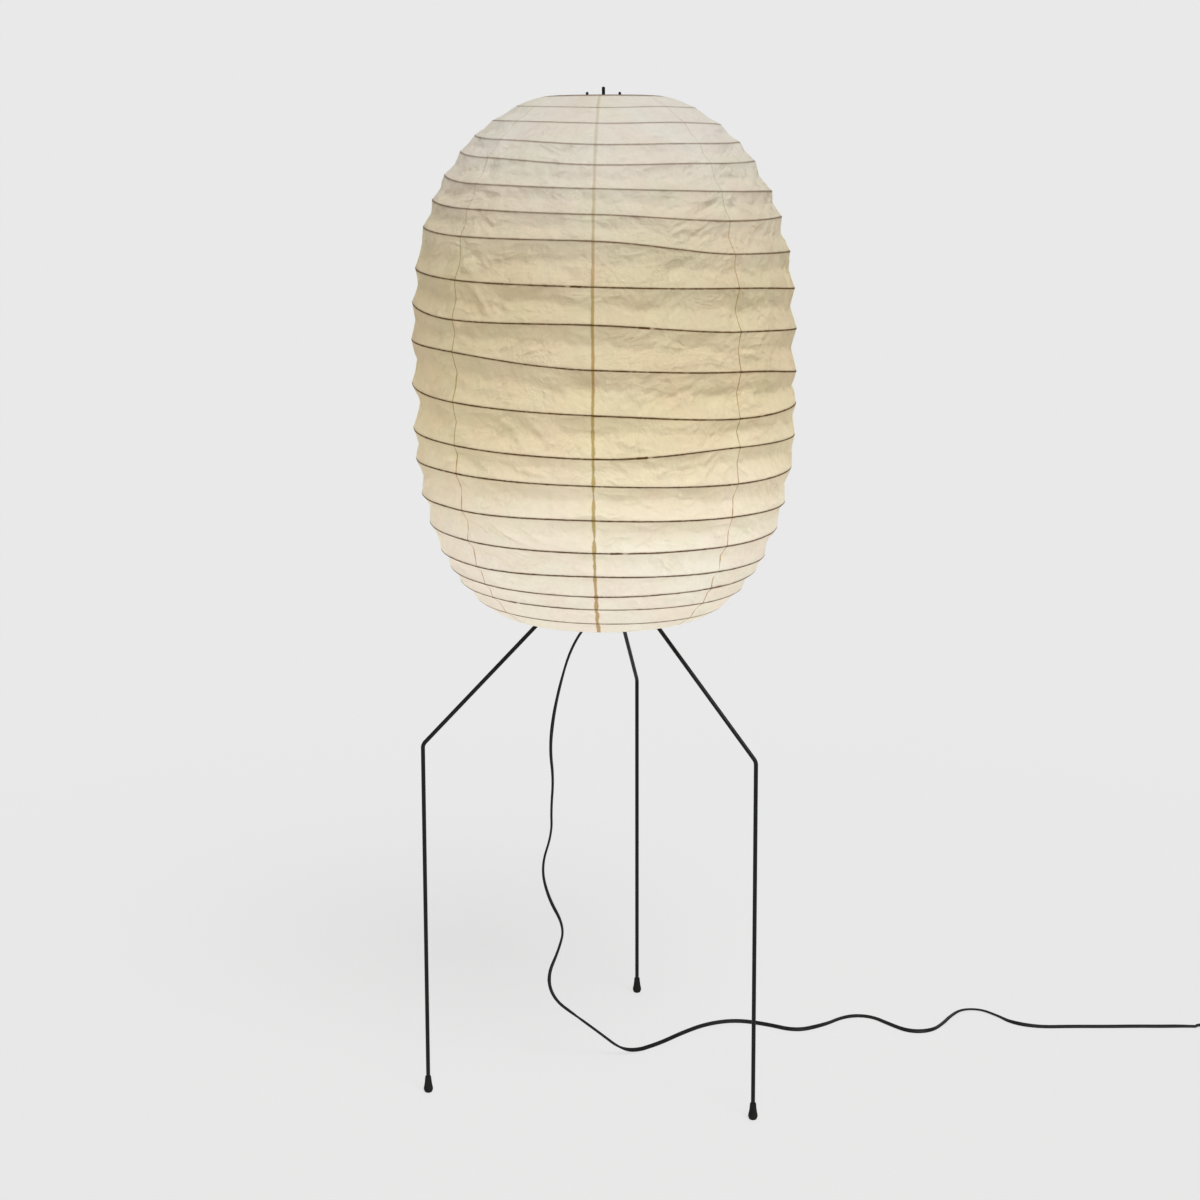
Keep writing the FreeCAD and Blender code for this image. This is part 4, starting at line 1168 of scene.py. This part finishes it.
    def _mark(self, mesh: Mesh, marks: Sequence[Sequence[Point]]) -> None:
        """Store each point's distances to the ribs and seams as two UV maps.

        Args:
            mesh: the gore's mesh, with its points in rows.
            marks: the band's width and the distances to both seams at each point, in rows, in metres.
        """
        ribs = mesh.loops.layers.uv.new("ribs")
        seams = mesh.loops.layers.uv.new("seams")
        per_row, per_band = self.size.columns + 1, self.size.rows_per_band
        mesh.verts.index_update()
        for face in mesh.faces:
            band = min(vertex.index for vertex in face.verts) // per_row // per_band
            for loop in face.loops:
                row, column = divmod(loop.vert.index, per_row)
                width, left, right = marks[row][column]
                down = row / per_band - band
                loop[ribs].uv = (down * width, (1 - down) * width)
                loop[seams].uv = (left, right)

    def _bamboo(self) -> Piece:
        """Make the bamboo spiral.

        Returns:
            The piece.
        """
        size = self.size
        half_width, half_depth = size.rib_width / 2, size.rib_thickness / 2
        rings = []
        for step in range(size.rib_steps * (len(size.drops) - 1) + 1):
            turns = step / size.rib_steps
            radius, height = self.spiral(turns)
            lower, upper = max(height - 1, self.bottom), min(height + 1, size.top)
            wall = Vector((self.radius(upper) - self.radius(lower), upper - lower)).normalized()
            inward = Vector((-wall.y, wall.x))
            centre = Vector((radius, height)) + inward * (size.rib_inset + half_depth)
            facing = self._facing(turns)
            ring = []
            for side in range(size.rib_sides):
                turn = 2 * math.pi * (side + 0.5) / size.rib_sides
                point = centre + wall * (half_width * math.cos(turn)) + inward * (half_depth * math.sin(turn))
                ring.append((facing * point.x + Vector((0.0, 0.0, point.y))) * MM)
            rings.append(ring)
        piece = new_piece("bamboo_rib", tube_mesh(rings), Body.SHADE, Slot.BAMBOO, self.materials)
        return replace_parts(piece, "bamboo_spiral")

    def _ring(self, node: str, radius: float, height: float) -> Piece:
        """Make a round wire ring.

        Args:
            node: the solid it stands for.
            radius: the ring's radius, in millimetres.
            height: the height of its middle, in millimetres.

        Returns:
            The piece.
        """
        half = self.size.ring_wire / 2
        outline = [((radius + half * math.cos(math.radians(angle))) * MM,
                    (height + half * math.sin(math.radians(angle))) * MM) for angle in range(0, 361, 30)]
        mesh = spun(outline, Vector(), self.size.ring_sides)
        piece = new_piece(f"{node}_wire", mesh, Body.SHADE, Slot.PLAIN, self.materials)
        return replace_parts(piece, node)

    def _gore_cut(self) -> Point:
        """Work out how a gore is cut.

        Returns:
            Its greatest width and its length in metres, and its area in square metres.
        """
        steps = 400
        length = area = 0.0
        for step in range(steps):
            upper, lower = (self.size.top + (self.bottom - self.size.top) * place / steps
                            for place in (step, step + 1))
            run = math.hypot(upper - lower, self.radius(upper) - self.radius(lower)) * MM
            length += run
            area += run * math.pi * (self.radius(upper) + self.radius(lower)) * MM / self.size.gores
        return 2 * math.pi * self.size.belly_radius * MM / self.size.gores, length, area

    def build(self) -> None:
        """Make the whole lantern."""
        size = self.size
        width, length, area = self._gore_cut()
        for index in range(size.gores):
            gore = self._gore(index)
        self._bamboo()
        half = size.ring_wire / 2
        inset = size.ring_inset + half
        self._ring("upper_ring", size.top_rim_radius - inset, size.top - half)
        self._ring("lower_ring", size.bottom_rim_radius - inset, self.bottom + half)
        for node in ("shade_crossbar", "shade_pin"):
            dress(node, Body.SHADE, Slot.STEEL, self.materials)
        LOG.info("lantern made, gore %.3f by %.3f m", width, length)


# ---- Stand ----
@dataclass(frozen=True)
class StandSize:
    """Sizes of the rubber feet, in millimetres: (radius, height, rounding) of each corner."""

    foot: tuple[Point, ...] = ((0.0, 0.0, 0.0), (5.6, 0.0, 0.9), (7.7, 5.0, 2.4), (5.8, 14.0, 5.0),
                               (4.6, 26.5, 0.7), (3.2, 26.5, 0.0), (3.2, 22.0, 0.0), (0.0, 22.0, 0.0))
    foot_sides: int = 48


class Stand:
    """Legs, feet, hub, arms and the inner frame."""

    def __init__(self, size: StandSize, materials: Materials) -> None:
        """Keep the sizes and where the materials come from."""
        self.size = size
        self.materials = materials

    def _foot(self, side: str) -> Piece:
        """Make a rubber foot.

        Args:
            side: which leg it is on.

        Returns:
            The piece.
        """
        low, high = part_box(f"foot_cap_{side}")
        centre = Vector(((low.x + high.x) / 2, (low.y + high.y) / 2, 0.0))
        outline = [(radius * MM, height * MM) for radius, height in rounded(self.size.foot)]
        mesh = spun(outline, centre, self.size.foot_sides)
        piece = new_piece(f"foot_{side}", mesh, Body.STAND, Slot.RUBBER, self.materials)
        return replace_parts(piece, f"foot_cap_{side}")

    def build(self) -> None:
        """Make the whole stand."""
        for side in ("back", "right", "left"):
            self._foot(side)
            dress(f"leg_{side}", Body.STAND, Slot.STEEL, self.materials)
        for node in ("hub", "frame_plate", "upright_left", "upright_right", "upright_collars",
                     "spreader_arm_right", "spreader_arm_front", "spreader_arm_left"):
            dress(node, Body.STAND, Slot.STEEL, self.materials)
        for node in ("leg_set_screws", "frame_nuts"):
            dress(node, Body.STAND, Slot.PLAIN, self.materials)


# ---- Lampholder and bulb ----
@dataclass(frozen=True)
class BulbSize:
    """Sizes of the bulb, in millimetres and degrees. The tip and the thread's ends are shares of the base."""

    neck_radius: float = 12.0
    neck_rise: float = 2.0
    neck_steps: int = 8
    globe_radius: float = 30.0
    globe_start: float = -42.0
    globe_steps: int = 22
    globe_sides: int = 64
    base_radius: float = 13.0
    tip_radius: float = 4.3
    tip_share: float = 0.28
    tip_fullness: float = 0.6
    thread_pitch: float = 3.62
    thread_depth: float = 0.9
    thread_run_in: float = 0.08
    thread_run_out: float = 0.12
    thread_rows: int = 88
    thread_sides: int = 48


class Lampholder:
    """Lampholder and bulb."""

    def __init__(self, size: BulbSize, materials: Materials) -> None:
        """Keep the bulb's sizes and where the materials come from."""
        self.size = size
        self.materials = materials

    def _glass(self) -> Piece:
        """Make the bulb's glass.

        Returns:
            The piece.
        """
        size = self.size
        low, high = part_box("bulb_glass")
        bottom, top = low.z / MM, high.z / MM
        middle, start = top - size.globe_radius, math.radians(size.globe_start)
        neck_end, globe_end = bottom + size.neck_rise, middle + size.globe_radius * math.sin(start)
        swell = size.globe_radius * math.cos(start) - size.neck_radius
        outline = [(0.0, bottom), (size.neck_radius, bottom)]
        for step in range(size.neck_steps):
            share = step / size.neck_steps
            outline.append((size.neck_radius + swell * eased(share),
                            neck_end + share * (globe_end - neck_end)))
        for step in range(size.globe_steps):
            angle = start + (math.pi / 2 - start) * step / size.globe_steps
            outline.append((size.globe_radius * math.cos(angle),
                            middle + size.globe_radius * math.sin(angle)))
        outline.append((0.0, top))
        mesh = spun([(radius * MM, height * MM) for radius, height in outline], Vector(), size.globe_sides)
        piece = new_piece("bulb_envelope", mesh, Body.STAND, Slot.BULB_GLASS, self.materials)
        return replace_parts(piece, "bulb_glass")

    def _thread(self) -> Piece:
        """Make the bulb's threaded base.

        Returns:
            The piece.
        """
        size = self.size
        low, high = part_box("bulb_base")
        rings = []
        for step in range(size.thread_rows + 1):
            share = step / size.thread_rows
            height = (low.z + (high.z - low.z) * share) / MM
            taper = limited(share / size.tip_share) ** size.tip_fullness
            base = size.tip_radius + (size.base_radius - size.tip_radius) * taper
            run_in = limited((share - size.tip_share) / size.thread_run_in)
            cut = size.thread_depth * run_in * min((1 - share) / size.thread_run_out, 1.0)
            ring = []
            for side in range(size.thread_sides):
                turn = 2 * math.pi * side / size.thread_sides
                phase = 2 * math.pi * height / size.thread_pitch - turn
                reach = base - cut * (0.5 - 0.5 * math.cos(phase))
                ring.append(Vector((reach * math.cos(turn), reach * math.sin(turn), height)) * MM)
            rings.append(ring)
        piece = new_piece("bulb_thread", tube_mesh(rings), Body.STAND, Slot.BULB_METAL, self.materials)
        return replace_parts(piece, "bulb_base")

    def build(self) -> None:
        """Make the lampholder and bulb."""
        for node in ("lampholder_cap", "lampholder_shell", "lampholder_insulator"):
            dress(node, Body.STAND, Slot.PLASTIC, self.materials)
        dress("lampholder_nipple", Body.STAND, Slot.PLAIN, self.materials)
        for node in ("lampholder_sleeve", "lampholder_contact"):
            dress(node, Body.STAND, Slot.BRASS, self.materials)
        self._thread()
        self._glass()


# ---- Cord ----
# The cord's route from the strain relief to the foot switch, in millimetres.
ROUTE = [(0, 0, 793.86), (0, 0, 764), (-30, 0, 737), (-54, 0, 697), (-70, 0, 643), (-82, 0, 587),
         (-87, 0, 535), (-82, 0, 487), (-86, 0, 436), (-85, 0, 396), (-103, 0, 340), (-92, 0, 288),
         (-66, 0, 238), (-75, 0, 200), (-95, 1, 152), (-84, 6, 110), (-48, 14, 78), (-8, 24, 42),
         (24, 32, 12), (52, 44, 3), (92, 74, 3), (128, 112, 3), (172, 149, 3), (222, 164, 3), (272, 148, 3),
         (322, 119, 3), (368, 142, 3), (412, 182, 3), (456, 182, 3), (486, 144, 3), (514, 115, 3),
         (548, 118, 3), (574, 148, 3), (592, 179, 3), (616, 208, 3), (650, 208, 3), (675, 180, 3),
         (698, 147, 3), (738, 134, 3), (790, 136, 3), (848, 135, 3), (902, 136, 3), (945, 135, 3),
         (980, 136, 3), (1006, 135.5, 3), (1024, 135.5, 9), (1040, 135.5, 9)]
# Turn of the flex's broad side about its own line along the route, as (share of the length, degrees).
TWISTS = [(0.0, 10), (0.056, 14), (0.072, 7), (0.089, 22), (0.12, 36), (0.136, 23), (0.168, 8), (0.201, 2),
          (0.234, 8), (0.268, 21), (0.288, 4), (0.304, 17), (0.322, 36), (0.34, 23), (0.364, 12),
          (0.385, -25), (0.415, -25), (0.440, 65), (0.60, 65), (0.633, 6), (0.653, 20), (0.672, 14),
          (0.693, 26), (0.713, 62), (0.742, -8), (0.79, -23), (0.812, -17), (0.836, 38), (0.855, 20),
          (0.96, 20), (0.982, 0), (1.0, 0)]


@dataclass(frozen=True)
class CordSize:
    """Sizes of the flat twin flex, its coil and the strap round it, in millimetres.

    Where the flex runs steeply, its broad side keeps the direction that it had.
    """

    width: float = 6.8
    thickness: float = 3.6
    nominal: float = 6.0
    groove_share: float = 0.72
    floor_gap: float = 0.1
    floor_reach: float = 3.5
    steep_from: float = 0.5
    steep_span: float = 0.4
    steep_hold: float = 0.9
    switch_end: float = 1110.0
    switch_exit: float = 9.0
    stub: float = 9.0
    stub_fall: float = 30.0
    lead: float = 42.0
    mean_diameter: float = 66.0
    turns_per_layer: int = 2
    half_turn_steps: int = 8
    pitch: float = 6.9
    low: float = 3.3
    high: float = 6.9
    plug_run: float = 12.0
    plug_entry: float = 8.0
    strap_rise: float = 1.4
    strap_thickness: float = 1.1
    strap_gap: float = 0.5
    strap_edge: float = 0.3
    strap_sides: int = 32


class Cord:
    """The flat flex from the hub over the foot switch to the plug."""

    def __init__(self, size: CordSize, materials: Materials) -> None:
        """Keep the flex's sizes and where the materials come from."""
        self.size = size
        self.materials = materials

    def _line(self, name: str, points: Sequence[Point]) -> list[Vector]:
        """Lay a smooth line through a route.

        Args:
            name: a name for the curve.
            points: the route's points, in millimetres.

        Returns:
            Points along the line, in metres.
        """
        data = bpy.data.curves.new(name, "CURVE")
        data.dimensions = "3D"
        spline = data.splines.new("NURBS")
        spline.points.add(len(points) - 1)
        for point, place in zip(spline.points, points):
            point.co = (place[0] * MM, place[1] * MM, place[2] * MM, 1.0)
        spline.order_u = 3
        spline.use_endpoint_u = True
        spline.resolution_u = 12
        curve = bpy.data.objects.new(name, data)
        bpy.context.scene.collection.objects.link(curve)
        bpy.context.view_layer.update()
        line = bpy.data.meshes.new_from_object(curve)
        found = [vertex.co.copy() for vertex in line.vertices]
        bpy.data.objects.remove(curve)
        bpy.data.meshes.remove(line)
        return found

    def _section(self) -> list[Span]:
        """Draw the flex's section: two round cores side by side with a web between.

        Returns:
            Points of the section, along its width and its thickness, in metres.
        """
        core = self.size.thickness / 2
        reach = self.size.width / 2 - core
        right = [(reach + core * math.cos(math.radians(angle)), core * math.sin(math.radians(angle)))
                 for angle in range(-108, 109, 24)]
        half = [*right, (0.0, core * self.size.groove_share)]
        return [(sign * across * MM, sign * up * MM) for sign in (1, -1) for across, up in half]

    def _flex(self, name: str, line: Sequence[Vector], twist: Callable[[float], float],
              nodes: Sequence[str]) -> tuple[Piece, list[Vector]]:
        """Sweep the flex along a line.

        Args:
            name: the piece's name.
            line: points along its middle, in metres.
            twist: from the share of the length to the turn of its broad side, in degrees.
            nodes: the solids it stands for.

        Returns:
            The piece and the points that its middle follows.
        """
        section = self._section()
        lengths = run_lengths(line)
        rings, middle = [], []
        side = Vector((0.0, 1.0, 0.0))
        for index, point in enumerate(line):
            along = (line[min(index + 1, len(line) - 1)] - line[max(index - 1, 0)]).normalized()
            level = along.cross(Vector((0.0, 0.0, 1.0)))
            steep = limited((abs(along.z) - self.size.steep_from) / self.size.steep_span)
            if level.length > 1e-4:
                level = level.normalized() * (1 if level.dot(side) >= 0 else -1)
                side = level.lerp(side, steep * self.size.steep_hold)
            side = (side - along * side.dot(along)).normalized()
            turn = math.radians(twist(lengths[index] / lengths[-1]))
            across = side * math.cos(turn) + along.cross(side) * math.sin(turn)
            up = along.cross(across)
            lowest = min(across.z * width + up.z * height for width, height in section)
            lift = self.size.floor_gap * MM - (point.z + lowest)
            resting = point.z < self.size.floor_reach * MM
            place = point + Vector((0.0, 0.0, lift if resting else max(lift, 0.0)))
            middle.append(place)
            rings.append([place + across * width + up * height for width, height in section])
        piece = new_piece(name, tube_mesh(rings), Body.STAND, Slot.FLEX, self.materials)
        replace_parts(piece, *nodes)
        return piece, middle

    def _coil_points(self) -> list[Point]:
        """Lay out the coil's points, from the switch round and round to the plug.

        Returns:
            The points, in millimetres.
        """
        size = self.size
        start_x, start_y = size.switch_end + size.lead, ROUTE[-1][1]
        points = [(size.switch_end, start_y, size.switch_exit),
                  (size.switch_end + size.stub, start_y, size.switch_exit),
                  (size.switch_end + size.stub_fall, start_y, size.low), (start_x, start_y, size.low)]
        halves, steps = 4 * size.turns_per_layer, size.half_turn_steps
        outer = (size.mean_diameter + size.turns_per_layer * size.pitch) / 2
        at, angle = Vector((start_x, start_y)), 0.0
        for half in range(halves):
            radius = outer - min(half, halves - half) * size.pitch / 2
            centre = at + Vector((-math.sin(angle), math.cos(angle))) * radius
            swell = radius / math.cos(math.pi / steps / 2) ** 0.5
            for step in range(1, steps + 1):
                turned = angle + math.pi * step / steps
                climb = limited(half + step / steps - halves / 2)
                reach = swell if step < steps else radius
                point = centre + Vector((math.sin(turned), -math.cos(turned))) * reach
                points.append((point.x, point.y, size.low + climb * (size.high - size.low)))
            angle += math.pi
            at = centre + Vector((math.sin(angle), -math.cos(angle))) * radius
        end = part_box("plug_body")[0].x / MM
        return [*points, (at.x + size.plug_run, at.y, size.high),
                (end - size.plug_run, at.y, size.plug_entry), (end, at.y, size.plug_entry)]

    def _tie(self) -> Piece:
        """Make the strap round the coil's turns.

        Returns:
            The piece.
        """
        low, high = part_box("coil_tie")
        size = self.size
        top = (size.high + size.thickness / 2 + size.strap_rise) * MM
        middle, reach = (low.y + high.y) / 2, (high.y - low.y) / 2 - size.strap_gap * MM
        mesh = bmesh.new()
        bmesh.ops.create_circle(mesh, segments=size.strap_sides, radius=1.0)
        for vertex in mesh.verts:
            squareness = (abs(vertex.co.x) ** 4 + abs(vertex.co.y) ** 4) ** -0.25
            vertex.co = Vector((low.x, middle + reach * vertex.co.x * squareness,
                                top / 2 * (1 + vertex.co.y * squareness)))
        band = bmesh.ops.extrude_edge_only(mesh, edges=mesh.edges)["geom"]
        bmesh.ops.translate(mesh, verts=[item for item in band if isinstance(item, bmesh.types.BMVert)],
                            vec=(high.x - low.x, 0.0, 0.0))
        bmesh.ops.recalc_face_normals(mesh, faces=mesh.faces)
        bmesh.ops.solidify(mesh, geom=mesh.faces, thickness=size.strap_thickness * MM)
        bmesh.ops.recalc_face_normals(mesh, faces=mesh.faces)
        sharp = [edge for edge in mesh.edges if edge.calc_face_angle(0.0) > math.radians(60)]
        bmesh.ops.bevel(mesh, geom=sharp, offset=size.strap_edge * MM, segments=2, profile=0.5,
                        affect="EDGES", material=-1)
        piece = new_piece("coil_strap", mesh, Body.STAND, Slot.STRAP, self.materials)
        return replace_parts(piece, "coil_tie")

    def build(self) -> None:
        """Make the cord, its coil and what is on it."""
        switch = [dress(node, body, slot, self.materials) for node, body, slot in (
            ("switch_base", Body.STAND, Slot.PLASTIC), ("switch_cover", Body.STAND, Slot.PLASTIC),
            ("switch_core", Body.STAND, Slot.PLASTIC), ("switch_button", Body.BUTTON, Slot.PLASTIC),
            ("switch_screws", Body.STAND, Slot.PLAIN))]
        plug = [dress("plug_body", Body.STAND, Slot.FLEX, self.materials),
                dress("plug_blades", Body.STAND, Slot.BRASS, self.materials)]
        dress("strain_relief", Body.STAND, Slot.FLEX, self.materials)
        line = self._line("cord_line", ROUTE)
        cord, middle = self._flex("flex", line, lambda share: read_stops(TWISTS, share), ["cord"])
        coil_line = self._line("coil_line", self._coil_points())
        coil, turns = self._flex("flex_coil", coil_line, lambda share: 0.0, ["cord_coil"])
        tie = self._tie()


# ---- Studio ----
@dataclass(frozen=True)
class StudioSize:
    """Sizes of the studio, in metres and degrees. The camera is the photograph's, its lens in millimetres."""

    floor_reach: float = 6.0
    floor_rings: int = 12
    floor_drop: float = 0.0002
    floor_sides: int = 96
    sweep: float = 2.0
    wall_top: float = 5.5
    camera: Point = (-0.00735, -3.1159, 1.46495)
    camera_dip: float = 12.46
    camera_roll: float = -0.172
    lens: float = 61.66
    sensor: float = 36.0
    sun: Point = (0.9, -1.9, 4.7)
    sun_aim: Point = (0.0, 0.0, 1.1)
    sun_strength: float = 2.05
    sun_angle: float = 32.0
    sky_strength: float = 0.40


class Studio:
    """Pale floor and backdrop, light and camera."""

    def __init__(self, size: StudioSize) -> None:
        """Keep the studio's sizes."""
        self.size = size

    def _surface(self) -> Material:
        """Make the pale surface that glows softly where the backdrop starts.

        Returns:
            The material.
        """
        look = FloorFinish()
        material, graph, shader, place = begin_material("studio_floor")
        graph.feed(shader, {"Base Color": (*look.tone, 1.0), "Roughness": look.roughness,
                            "Specular IOR Level": look.specular})
        flank = graph.remap(graph.math("ABSOLUTE", graph.axis(place, 0)), *look.flank)
        glow = graph.add("ShaderNodeEmission", {"Color": (*look.glow, 1.0), "Strength": flank})
        share = graph.remap(graph.away(place, (0.0, 0.0, 0.0)), *look.glow_share)
        graph.put_out(share, shader, glow)
        return material

    def _floor(self) -> None:
        """Make the round floor that curves up into a wall."""
        size = self.size
        outline = [(size.floor_reach * step / size.floor_rings, 0.0) for step in range(size.floor_rings + 1)]
        for angle in range(10, 91, 10):
            turn = math.radians(angle)
            outline.append((size.floor_reach + size.sweep * math.sin(turn),
                            size.sweep * (1 - math.cos(turn))))
        outline.append((size.floor_reach + size.sweep, size.wall_top))
        mesh = spun(outline, Vector((0.0, 0.0, -size.floor_drop)), size.floor_sides)
        link_mesh("studio_floor", mesh, self._surface())

    def _sun(self) -> None:
        """Make the broad sun that points at the lantern."""
        data = bpy.data.lights.new("key_sun", "SUN")
        data.energy = self.size.sun_strength
        data.angle = math.radians(self.size.sun_angle)
        light = bpy.data.objects.new("key_sun", data)
        light.location = self.size.sun
        aim = Vector(self.size.sun_aim) - Vector(self.size.sun)
        light.rotation_euler = aim.to_track_quat("-Z", "Y").to_euler()
        bpy.context.scene.collection.objects.link(light)

    def _camera(self) -> None:
        """Make the camera that sees the lamp as in the photograph."""
        size = self.size
        data = bpy.data.cameras.new("camera")
        data.sensor_width = size.sensor
        data.lens = size.lens
        camera = bpy.data.objects.new("camera", data)
        bpy.context.scene.collection.objects.link(camera)
        camera.matrix_world = (Matrix.Translation(size.camera)
                               @ Matrix.Rotation(math.radians(90 - size.camera_dip), 4, "X")
                               @ Matrix.Rotation(math.radians(size.camera_roll), 4, "Z"))
        bpy.context.scene.camera = camera

    def build(self) -> None:
        """Make the whole studio."""
        self._camera()
        self._floor()
        world = bpy.data.worlds.new("studio")
        world.use_nodes = True
        background = world.node_tree.nodes["Background"]
        background.inputs["Color"].default_value = (1.0, 1.0, 1.0, 1.0)
        background.inputs["Strength"].default_value = self.size.sky_strength
        bpy.context.scene.world = world
        bpy.context.scene.view_settings.view_transform = "Standard"
        self._sun()


def main() -> None:
    """Build the scene."""
    logging.basicConfig(level=logging.INFO, format="%(name)s: %(message)s")
    materials = Materials()
    Studio(StudioSize()).build()
    Cord(CordSize(), materials).build()
    Stand(StandSize(), materials).build()
    Lampholder(BulbSize(), materials).build()
    Lantern(LanternSize(), FoldSize(), materials).build()


if __name__ == "__main__":
    main()
